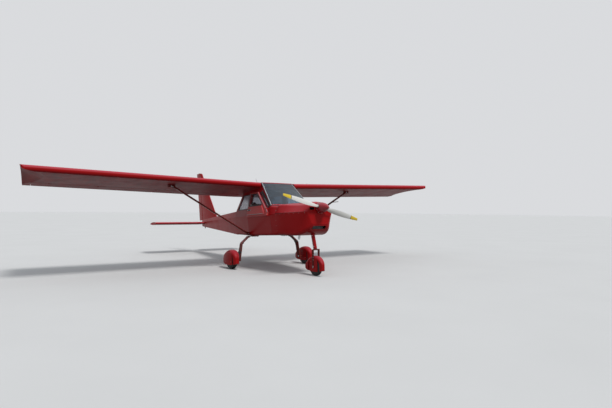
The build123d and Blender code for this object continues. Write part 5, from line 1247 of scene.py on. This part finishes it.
def exhaust_clamp():
    """Two band clamps on the pipe under the cowling."""
    shape = Shape()
    start, end = Vector((1.0, -0.12, -0.909)), Vector((0.930, -0.12, -1.120))
    run = (end - start).normalized()
    for along in (0.178, 0.196):
        rows = ((0, 0.0221), (0, 0.0242), (0.006, 0.0242), (0.006, 0.0221))
        shape.collar(rows, start + run * along, run, 32)
    shape.make("exhaust_clamps", "bare_metal")


for build in (wing_rivets, fuel_caps, wing_root_seals, strut_details, fuselage_rivets, cowl_side_panels,
              cowl_fasteners, whip_antenna, nose_inlets, inlet_lips, window_gaskets, windshield_trim,
              door_details, seats, instruments, cabin_tubes, wheels, main_gear, nose_gear, tail_details,
              tail_lamp, propeller_details, exhaust_clamp):
    build()


# Camera, light and floor


def photo_camera():
    """Camera at the photograph's place and angle."""
    data = bpy.data.cameras.new("photo_camera")
    data.lens = LENS_MM
    data.sensor_width = SENSOR_MM
    data.clip_end = 200.0
    heading, pitch, roll = map(math.radians, (CAMERA_HEADING_DEG, CAMERA_PITCH_DEG, CAMERA_ROLL_DEG))
    level = math.cos(pitch)
    ahead = Vector((-math.cos(heading) * level, math.sin(heading) * level, math.sin(pitch)))
    right = ahead.cross(UP).normalized()
    up = right.cross(ahead)
    right, up = right * math.cos(roll) + up * math.sin(roll), up * math.cos(roll) - right * math.sin(roll)
    camera = add_object("photo_camera", data)
    camera.matrix_world = Matrix.Translation(CAMERA_PLACE) @ Matrix((right, up, -ahead)).transposed().to_4x4()
    bpy.context.scene.camera = camera


def sun_light(name, toward, strength, soft_deg, colour):
    """Even soft light from one side, given by the direction that it comes from."""
    data = bpy.data.lights.new(name, "SUN")
    data.energy = strength
    data.angle = math.radians(soft_deg)
    data.color = colour
    add_object(name, data).rotation_euler = Vector(toward).to_track_quat("Z", "Y").to_euler()


def seen_share(n):
    """1 for what the camera, a gloss or glass sees, 0 for the light that falls on the object."""
    path = n.add("ShaderNodeLightPath")
    share = path.outputs["Is Camera Ray"]
    for ray in ("Is Glossy Ray", "Is Transmission Ray"):
        share = n.maths("MAXIMUM", share, path.outputs[ray])
    return share


def pale_world(strength, shade, seen):
    """Soft light from all round and a pale background."""
    n = Nodes("studio", bpy.data.worlds)
    bpy.context.scene.world = n.owner
    n.tree.nodes.clear()
    pick = n.add("ShaderNodeMixShader")
    n.link(seen_share(n), pick.inputs[0])
    for slot, colour, power in ((1, shade, strength), (2, seen, 1.0)):
        light = n.add("ShaderNodeBackground", Color=(*colour, 1), Strength=power)
        n.link(light.outputs[0], pick.inputs[slot])
    n.link(pick.outputs[0], n.add("ShaderNodeOutputWorld").inputs["Surface"])


def floor(pale, bounce):
    """Plain pale floor; the light that it throws back up is held to its second colour."""
    mesh = bpy.data.meshes.new("floor")
    half = 150.0
    edge = [(-half, -half, 0), (half, -half, 0), (half, half, 0), (-half, half, 0)]
    mesh.from_pydata(edge, [], [(0, 1, 2, 3)])
    piece = add_object("floor", mesh)
    n = Nodes("floor")
    shade = n.ramp(n.noise(0.6, 3.0), 0.3, 0.7, toned(pale, 0.97), pale)
    n.feed("Base Color", n.mix(seen_share(n), bounce, shade))
    n.set(Roughness=0.9, Specular_IOR_Level=0.1)
    mesh.materials.append(n.owner)


photo_camera()
pale_world(0.46, (0.92, 0.96, 1.0), (0.70, 0.71, 0.73))
sun_light("key", (0.55, 0.10, 0.83), 1.7, 14.0, (1.0, 0.98, 0.95))
floor((0.76, 0.77, 0.78), (0.25, 0.25, 0.24))

bpy.context.scene.view_settings.view_transform = "Standard"
